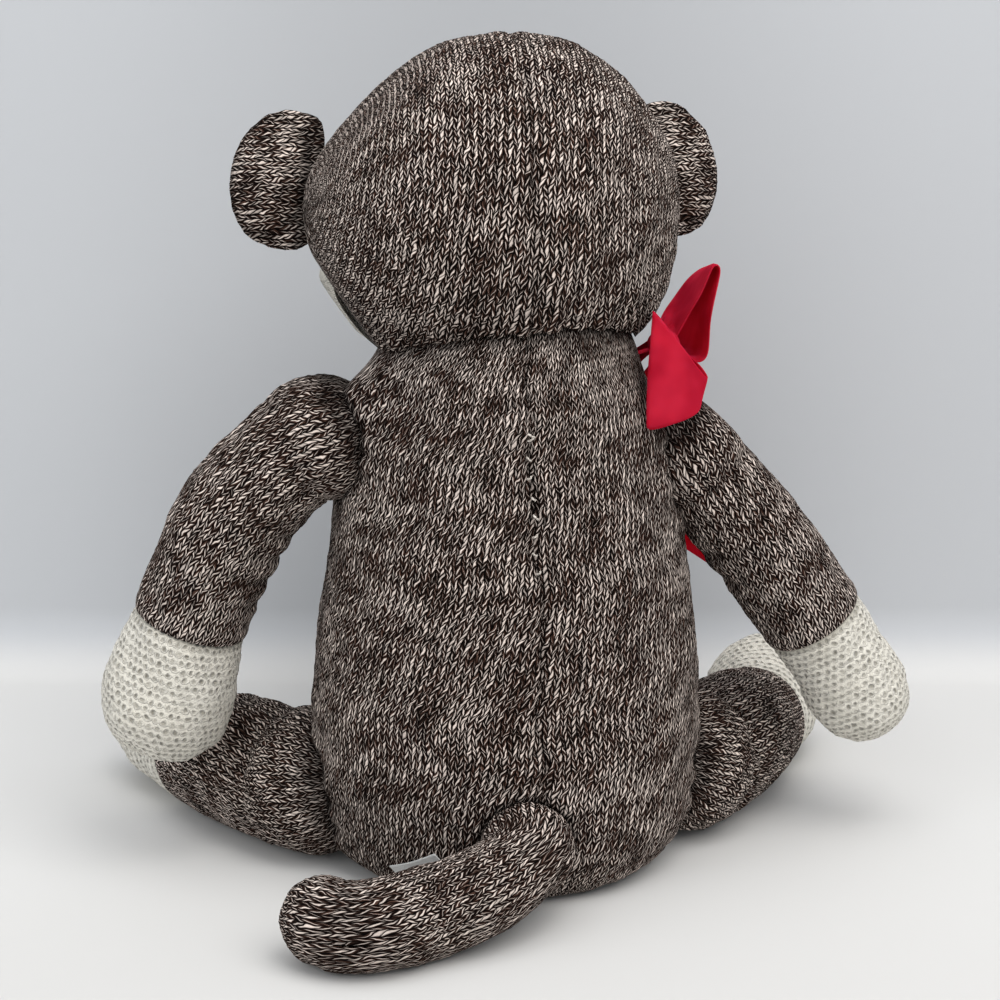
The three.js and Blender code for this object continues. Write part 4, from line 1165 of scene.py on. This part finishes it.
def makeMuzzle():
    slope = halfTurn(muzzle["rows"])
    turn = fullTurn(muzzle["columns"])
    way = stack(np.sin(slope) * np.cos(turn), -np.cos(slope), np.sin(slope) * np.sin(turn))
    a, b, c = muzzle["half"]
    far = 1 / np.sqrt((way[..., 0] / a) ** 2 + (way[..., 1] / b) ** 2 + (way[..., 2] / c) ** 2)
    places = way * far[..., None] + muzzleMiddle
    x, y, z = (places[..., axis] - muzzle["centre"][axis] for axis in range(3))
    wales = x / knitCloth["creamWale"]
    courses = np.arctan2(z, -y * c / b) * muzzle["courseRadius"] / knitCloth["creamCourse"]
    places = roughen(places, wales, {**stuffed, "rib": 0, "yarn": 0.1, "lump": 0.7}, 91)
    own = places - headMiddle
    far = sizeOf(own)
    skin = sizeOf(headSkin(own / far) - headMiddle)
    # Painted shade on the back rim, where the muzzle meets the head.
    creaseShade = 0.1 - 0.1 * smoothStep((far - skin)[..., 0], 0.8, 5.0)
    places = outOfBall(places, headMiddle, skin + muzzle["gap"])
    places = outOfBall(places, (0, 0, 0), muzzle["neck"])
    place, facing, soft = head["presses"][2]
    places = pressed(toDoll(places), (np.array(place) + muzzle["proud"] * np.array(facing), facing, soft))
    piece = makeSkin("muzzleCover", places, wales, courses, "cream_knit", creaseShade)
    settle(piece, "head", ["muzzle_cover", "muzzle_stuffing"])


# Lips: a flat piece that lies on the muzzle, whose rows run from its lower edge to its upper edge
lips = {
    "half": 30, "rise": 9.1, "fall": 10.1, "thick": 1.7, "groove": 0.9, "over": 0.25, "cloth": 1.1, "columns": 90,
    "rows": 20,
}


def makeLips():
    across = np.linspace(-1, 1, lips["columns"] + 1)[None, :]
    tall = np.linspace(-1, 1, lips["rows"] + 1)[:, None]
    z = np.where(tall > 0, lips["rise"] * tall, lips["fall"] * tall) * (1 - np.abs(across) ** 2.2) ** 0.9
    x = across * lips["half"]
    a, b, c = (size + lips["over"] for size in muzzle["half"])
    depth = -b * np.sqrt(np.clip(1 - (x / a) ** 2 - (z / c) ** 2, 0, 1))
    facing = stack(x / a ** 2, depth / b ** 2, z / c ** 2)
    facing /= sizeOf(facing)
    edge = np.minimum(1 - np.abs(tall), (1 - np.abs(across)) * 6)
    swell = lips["thick"] * np.sqrt(np.clip(1 - (1 - np.clip(edge * 3.2, 0, 1)) ** 2, 0, 1))
    groove = hump(z, 1.1) * lips["groove"] * (1 - np.abs(across) ** 4)
    places = stack(x, depth, z) + facing * (swell - groove + lips["over"])[..., None] + muzzleMiddle
    courses = z / knitCloth["course"] + 10
    piece = makeSkin("lips", toDoll(places), x / knitCloth["wale"], courses, "red_knit", closed=False)
    thicken(piece, lips["cloth"], 1)
    settle(piece, "head", ["lips"])


# Threads are tubes along a line of places, with round ends and two twisted plies.
def makeThreadTube(name, points, radius, look, columns, twist):
    route = Route(points)
    rows = max(12, int(route.length / 0.8))
    along = np.linspace(0, route.length, rows + 1)
    near = np.minimum(along, route.length - along) / (radius * 1.3)
    girth = radius * np.sqrt(np.clip(1 - (1 - np.clip(near, 0, 1)) ** 2, 0, 1))
    places, turn, _ = wrap(route, np.stack((along, girth), -1), (0.13, 0.31, 0.94), columns)
    middle = route.at(along)[0][:, None]
    swing = 1 + 0.22 * np.cos(2 * (turn - along[:, None] * twist))
    places = middle + (places - middle) * swing[..., None]
    return makeSkin(name, places, turn, along[:, None], look)


def onFace(x, z, over):
    a, b, c = (size + over for size in muzzle["half"])
    return np.array((x, -b * math.sqrt(1 - (x / a) ** 2 - (z / c) ** 2), z)) + muzzleMiddle


mouth = {"half": 24, "wave": (0.5, 19), "over": 2.5, "radius": 0.75, "twist": 1.1}
nostrils = {"aside": 9, "height": 18, "over": 0.9, "coil": 1.7, "turns": 2.4, "radius": 0.62, "twist": 1.4}


def makeFace():
    makeMuzzle()
    makeLips()
    depth, often = mouth["wave"]
    spots = [onFace(mouth["half"] * share, depth * math.sin(share * often), mouth["over"])
             for share in np.linspace(-1, 1, 41)]
    line = toDoll(np.array(spots))
    piece = makeThreadTube("mouthStitch", line, mouth["radius"], "dark_thread", 10, mouth["twist"])
    settle(piece, "head", ["mouth_stitch"])
    for side, aside in (("left", nostrils["aside"]), ("right", -nostrils["aside"])):
        middle = onFace(aside, nostrils["height"], nostrils["over"])
        coil = []
        for step in np.linspace(0, 1, 60):
            angle = step * 2 * math.pi * nostrils["turns"]
            out = nostrils["coil"] * (1 - 0.55 * step)
            coil.append(middle + np.array((out * math.cos(angle), -0.9 * step, out * math.sin(angle) * 0.9)))
        name, line = "nostril" + side.title(), toDoll(np.array(coil))
        piece = makeThreadTube(name, line, nostrils["radius"], "dark_thread", 8, nostrils["twist"])
        settle(piece, "head", ["nostril_" + side])
    print("muzzle made")


makeFace()


# Eyes: domed shank buttons
eye = {
    "spread": 19,
    "height": 0.36,  # share of the head's half height
    "over": 0.3,
    # across, along
    "profile": [(0, -11), (1.4, -11), (2, -10.4), (2, -0.2), (2.6, 0), (6.6, 0), (7.3, 0.3), (7.5, 0.9), (7.45, 1.4),
                (7.2, 1.9), (6.3, 2.9), (5.0, 3.6), (3.2, 4.05), (1.4, 4.2), (0, 4.2)],
    "rows": 60,
    "columns": 64,
}


def makeEyes():
    a, b, c = head["half"]
    share = eye["height"]
    for side, aside in (("left", eye["spread"]), ("right", -eye["spread"])):
        rise = c * share
        y = -b * math.sqrt(1 - (aside / a) ** 2 - (rise / c) ** 2)
        facing = np.array((aside / a ** 2, y / b ** 2, rise / c ** 2))
        facing /= np.linalg.norm(facing)
        place = np.array((aside + head["centre"][0] + head["crownLean"] * share ** 2, y, rise + head["centre"][2]))
        profile, run = evenly(eye["profile"], eye["rows"])
        lead = np.cross(facing, (0, 0, 1.0))
        lead /= np.linalg.norm(lead)
        turn = fullTurn(eye["columns"])
        ring = lead * np.cos(turn)[..., None] + np.cross(facing, lead) * np.sin(turn)[..., None]
        out, along = (axis[:, None, None] for axis in profile.T)
        places = place + facing * (along + eye["over"]) + ring * out
        piece = makeSkin("eye" + side.title(), toDoll(places), turn, run, "black_gloss")
        settle(piece, "head", ["eye_" + side])


makeEyes()
print("eyes made")


# Stitches that close the back seam
backStitches = {
    # height, slant, half length
    "rows": [
        (184.6, 0.6, 1.3), (183.4, -0.7, 1.2), (176, 0.9, 0.9), (169, -0.6, 0.8), (161, 0.7, 0.8), (154, 0.9, 1.0),
        (147, -0.6, 0.8), (140, 0.6, 0.8), (133, -0.6, 0.8),
    ],
    "radius": 0.4,
    "twist": 1.5,
    "over": 0.9,
    "dive": 1.9,
}


def backPlace(x, z, over):
    table = curveThrough(body["rows"], 600)
    table = table[table[:, 0] > 5]
    halfWidth, halfDepth, forward = (np.interp(z, table[:, 0], axis) for axis in table.T[1:])
    return np.array((x, halfDepth * math.sqrt(1 - (x / halfWidth) ** 2) - forward + over, z))


def makeBackStitches():
    parts = []
    for index, (height, slant, half) in enumerate(backStitches["rows"]):
        middle = np.interp(height, *np.array(body["seam"]).T) + seamWander(height)
        points = []
        for share in np.linspace(-1, 1, 9):
            over = backStitches["over"] - backStitches["dive"] * abs(share) ** 3
            points.append(backPlace(middle + share * half, height + slant * share * half, over))
        parts.append(makeThreadTube(f"stitch{index}", points, backStitches["radius"], "pale_thread", 6,
                                    backStitches["twist"]))
    choose(*parts)
    bpy.ops.object.join()
    piece = bpy.context.object
    piece.name = "backStitches"
    settle(piece, "body", ["back_seam_stitches"])


makeBackStitches()


# Care label: a blank folded tape
label = {
    "width": 24, "length": 20, "thick": 0.45, "place": (38.6, 52.6, 16), "tilt": 33, "turn": 28, "spin": 31,
    "bow": 0.5, "ripple": 0.25, "rows": 26, "columns": 30,
}


def makeLabel():
    up = np.linspace(-0.5, 0.5, label["rows"] + 1)[:, None]
    across = np.linspace(-0.5, 0.5, label["columns"] + 1)[None, :]
    x, z = across * label["width"], up * label["length"]
    y = label["bow"] * np.cos(across * np.pi) * (up + 0.5) * 2 + label["ripple"] * np.sin(up * 9)
    tilt = rotation(-label["turn"], "Z") @ rotation(-label["tilt"], "X") @ rotation(label["spin"], "Y")
    places = stack(x, y, z) @ np.array(tilt).T + np.array(label["place"])
    piece = makeSkin("careLabel", places, x, z, "white_tape", closed=False)
    thicken(piece, label["thick"])
    settle(piece, "body", ["care_label"])


makeLabel()


# Bow: each loop and tail is a strip between two edges. Its rows are places on the one edge and on the other, in
# shares of the reach from the knot.
bow = {
    "knot": (-62, -8, 204),
    "knotHalf": (6, 7, 6),
    "reach": 100,
    "thick": 0.5,
    "steps": 84,
    "across": 26,
    "gathered": 0.93,  # how much of a ribbon's flat width is seen
    "gathers": (1.3, 2.6),  # depth and count of the folds at the knot
    "ripple": 0.5,
    "bowLoopBack": [
        (-0.01, 0.03, 0.02, -0.01, 0.03, -0.02), (-0.01, 0.12, 0.06, 0, 0.13, -0.03),
        (0.05, 0.24, 0.13, 0.06, 0.3, -0.12), (0.12, 0.34, 0.2, 0.153, 0.435, -0.22),
        (0.03, 0.37, 0.09, 0.04, 0.42, -0.21), (-0.06, 0.34, -0.02, -0.05, 0.37, -0.18),
        (-0.1, 0.3, -0.065, -0.08, 0.31, -0.13), (-0.09, 0.22, -0.03, -0.08, 0.22, -0.09),
        (-0.05, 0.1, 0.01, -0.05, 0.11, -0.05), (-0.02, 0.03, 0.01, -0.02, 0.03, -0.03),
    ],
    "bowLoopFront": [
        (-0.025, -0.03, 0.022, -0.013, -0.05, 0.03), (-0.049, -0.03, 0.029, -0.038, -0.22, 0.064),
        (-0.074, -0.04, 0.038, -0.113, -0.36, 0.112), (-0.139, -0.04, 0.166, -0.182, -0.38, 0.179),
        (-0.192, -0.04, 0.282, -0.246, -0.38, 0.234), (-0.224, -0.04, 0.273, -0.282, -0.36, 0.236),
        (-0.2, -0.04, 0.093, -0.168, -0.38, 0.053), (-0.176, -0.04, -0.056, -0.145, -0.38, -0.06),
        (-0.108, -0.04, -0.066, -0.093, -0.22, -0.067), (-0.03, -0.03, -0.03, -0.028, -0.06, -0.028),
    ],
    "bowTailOuter": [
        (-0.03, -0.04, -0.05, 0.03, -0.04, -0.05), (-0.08, -0.16, -0.14, 0.04, -0.2, -0.15),
        (-0.14, -0.32, -0.26, 0.1, -0.4, -0.26), (-0.2, -0.42, -0.5, 0.08, -0.54, -0.48),
        (-0.36, -0.52, -1.06, -0.2, -0.64, -0.98),
    ],
    "bowTailInner": [
        (0.04, -0.03, -0.03, 0.04, -0.03, 0.02), (0.07, -0.2, -0.13, 0.09, -0.22, -0.07),
        (0.14, -0.36, -0.3, 0.27, -0.42, -0.22), (0.18, -0.48, -0.55, 0.4, -0.54, -0.48),
        (0.24, -0.54, -0.88, 0.46, -0.6, -0.76),
    ],
}


def makeStrip(name, node, seed):
    table = np.array(bow[name]) * bow["reach"] + np.tile(bow["knot"], 2)
    near, far = (curveThrough(edge, bow["steps"] + 1) for edge in (table[:, :3], table[:, 3:]))
    side = np.linspace(0, 1, bow["across"] + 1)[None, :]
    places = near[:, None] * (1 - side[..., None]) + far[:, None] * side[..., None]
    across = np.gradient(places, axis=1)
    facing = np.cross(np.gradient(places, axis=0), across)
    area = float(sizeOf(facing).sum())
    facing = unit(facing)
    step = np.linspace(0, 1, bow["steps"] + 1)[:, None]
    if "Loop" in name:
        ends = np.maximum(1 - smoothStep(step, 0.0, 0.3), smoothStep(step, 0.7, 1.0))
    else:
        ends = 1 - smoothStep(step, 0, 0.5)
    depth, count = bow["gathers"]
    gathers = depth * ends * np.sin(side * 2 * np.pi * count + seed)
    ripples = bow["ripple"] * np.sin(step * 23 + side * 4 + seed) * (1 - ends)
    places = places + facing * (gathers + ripples)[..., None]
    run = runAlong((near + far) / 2)
    piece = makeSkin(name, places, side * 30, run[:, None], "red_satin", closed=False)
    thicken(piece, bow["thick"])
    settle(piece, "body", [node])


def makeKnot():
    slope, turn = halfTurn(40), fullTurn(64)
    a, b, c = bow["knotHalf"]
    folds = 1 + 0.07 * np.sin(slope * 9 + np.cos(turn) * 1.5) * np.sin(slope)
    ball = stack(a * np.sin(slope) * np.cos(turn), b * -np.cos(slope), c * np.sin(slope) * np.sin(turn))
    places = ball * folds[..., None] + np.array(bow["knot"])
    piece = makeSkin("bowKnot", places, turn * 5, slope * 12, "red_satin")
    settle(piece, "body", ["bow_knot"])


makeKnot()
makeStrip("bowLoopBack", "bow_loop_back", 1.0)
makeStrip("bowLoopFront", "bow_loop_front", 2.1)
makeStrip("bowTailOuter", "bow_tail_outer", 0.4)
makeStrip("bowTailInner", "bow_tail_inner", 3.0)
print("bow made")


# Finishes on the frame's own small pieces
slots = {entry["node"]: entry["material_slot"] for entry in frame["record"]["subparts"]}
for node, item in frame["nodes"].items():
    item.data.materials.clear()
    item.data.materials.append(looks["red_satin" if node == "bow_tack_thread" else slots[node]])


# Room: floor and backdrop in one sweep, square to the camera. Its sizes are metres.
room = {
    "floor": "d5d4d2",
    "nearFloor": "c8c6c3",
    "wall": "c0c2c5",
    "shade": "2c3036",  # the doll keeps some light from what is behind it
    "shadeShare": (0.17, 0.28),
    "shadeHalf": 0.21,
    "back": -0.237,
    "curve": 0.03,
    "half": 4.0,
    "near": 4.0,
    "height": 4.0,
}


def makeRoom():
    look = Look("room")
    x, y, z = look.axes(look.object())
    turn = math.radians(180 - view["azimuth"])
    y = y * math.cos(turn) + x * math.sin(turn)
    cloud = look.noise(look.object(), 1.5)
    # Painted shade: the floor is darker towards the camera.
    colour = look.mix(y.rise(-0.1, 0.4), rgb(room["floor"]), rgb(room["nearFloor"]))
    colour = look.mix(z.rise(-0.001, 0.02), colour, rgb(room["wall"]))
    # Painted shadow of the doll on the floor and backdrop behind it, deeper low down.
    beside = 1 - (x + 0.03).size().rise(0.0, room["shadeHalf"])
    behind = 1 - y.rise(-0.2, -0.06)
    least, more = room["shadeShare"]
    share = (1 - z.rise(0.0, 0.25)) * more + least
    colour = look.mix(beside * behind * share, colour, rgb(room["shade"]))
    colour = look.mix((cloud * 0.06).held(), colour, rgb("ffffff"))
    look.finish(Base_Color=colour, Roughness=0.9, Specular_IOR_Level=0.2)
    steps = [(room["near"], 0.0), (room["back"] + room["curve"], 0.0)]
    for share in np.linspace(0, 1, 13)[1:]:
        angle = share * math.pi / 2
        steps.append((room["back"] + room["curve"] * (1 - math.sin(angle)), room["curve"] * (1 - math.cos(angle))))
    steps.append((room["back"], room["height"]))
    choose()
    bpy.ops.mesh.primitive_grid_add(x_subdivisions=1, y_subdivisions=len(steps) - 1, size=1, location=(0, 0, 0))
    floor = bpy.context.object
    floor.name = "room"
    for vertex in floor.data.vertices:
        y, z = steps[round((vertex.co.y + 0.5) * (len(steps) - 1))]
        vertex.co = Matrix.Rotation(-turn, 3, "Z") @ Vector((vertex.co.x * 2 * room["half"], y, z - 0.0002))
    floor.data.materials.append(look.material)
    bpy.ops.object.shade_smooth()


lamps = {
    "key": {"place": (-0.5, 0.9, 1.5), "size": 1.3, "power": 16, "colour": (1.0, 0.98, 0.95)},
    "fill": {"place": (1.4, 0.8, 0.8), "size": 1.6, "power": 7, "colour": (0.95, 0.98, 1.0)},
    "top": {"place": (0.1, 0.2, 1.9), "size": 1.6, "power": 14.5, "colour": (1.0, 1.0, 1.0)},
}
sky = {"colour": (0.93, 0.96, 1.0, 1), "strength": 0.7}


def makeLamps():
    for name, lamp in lamps.items():
        place = Vector(lamp["place"])
        aim = (Vector((0, 0, 0.15)) - place).to_track_quat("-Z", "Y").to_euler()
        bpy.ops.object.light_add(type="AREA", location=place, rotation=aim)
        light = bpy.context.object
        light.name = name
        light.data.size = lamp["size"]
        light.data.energy = lamp["power"]
        light.data.color = lamp["colour"]
    world = bpy.data.worlds.new("world")
    bpy.context.scene.world = world
    world.use_nodes = True
    background = world.node_tree.nodes["Background"]
    background.inputs["Color"].default_value = sky["colour"]
    background.inputs["Strength"].default_value = sky["strength"]


makeRoom()
makeLamps()
bpy.context.scene.view_settings.view_transform = "Standard"
print("scene ready")
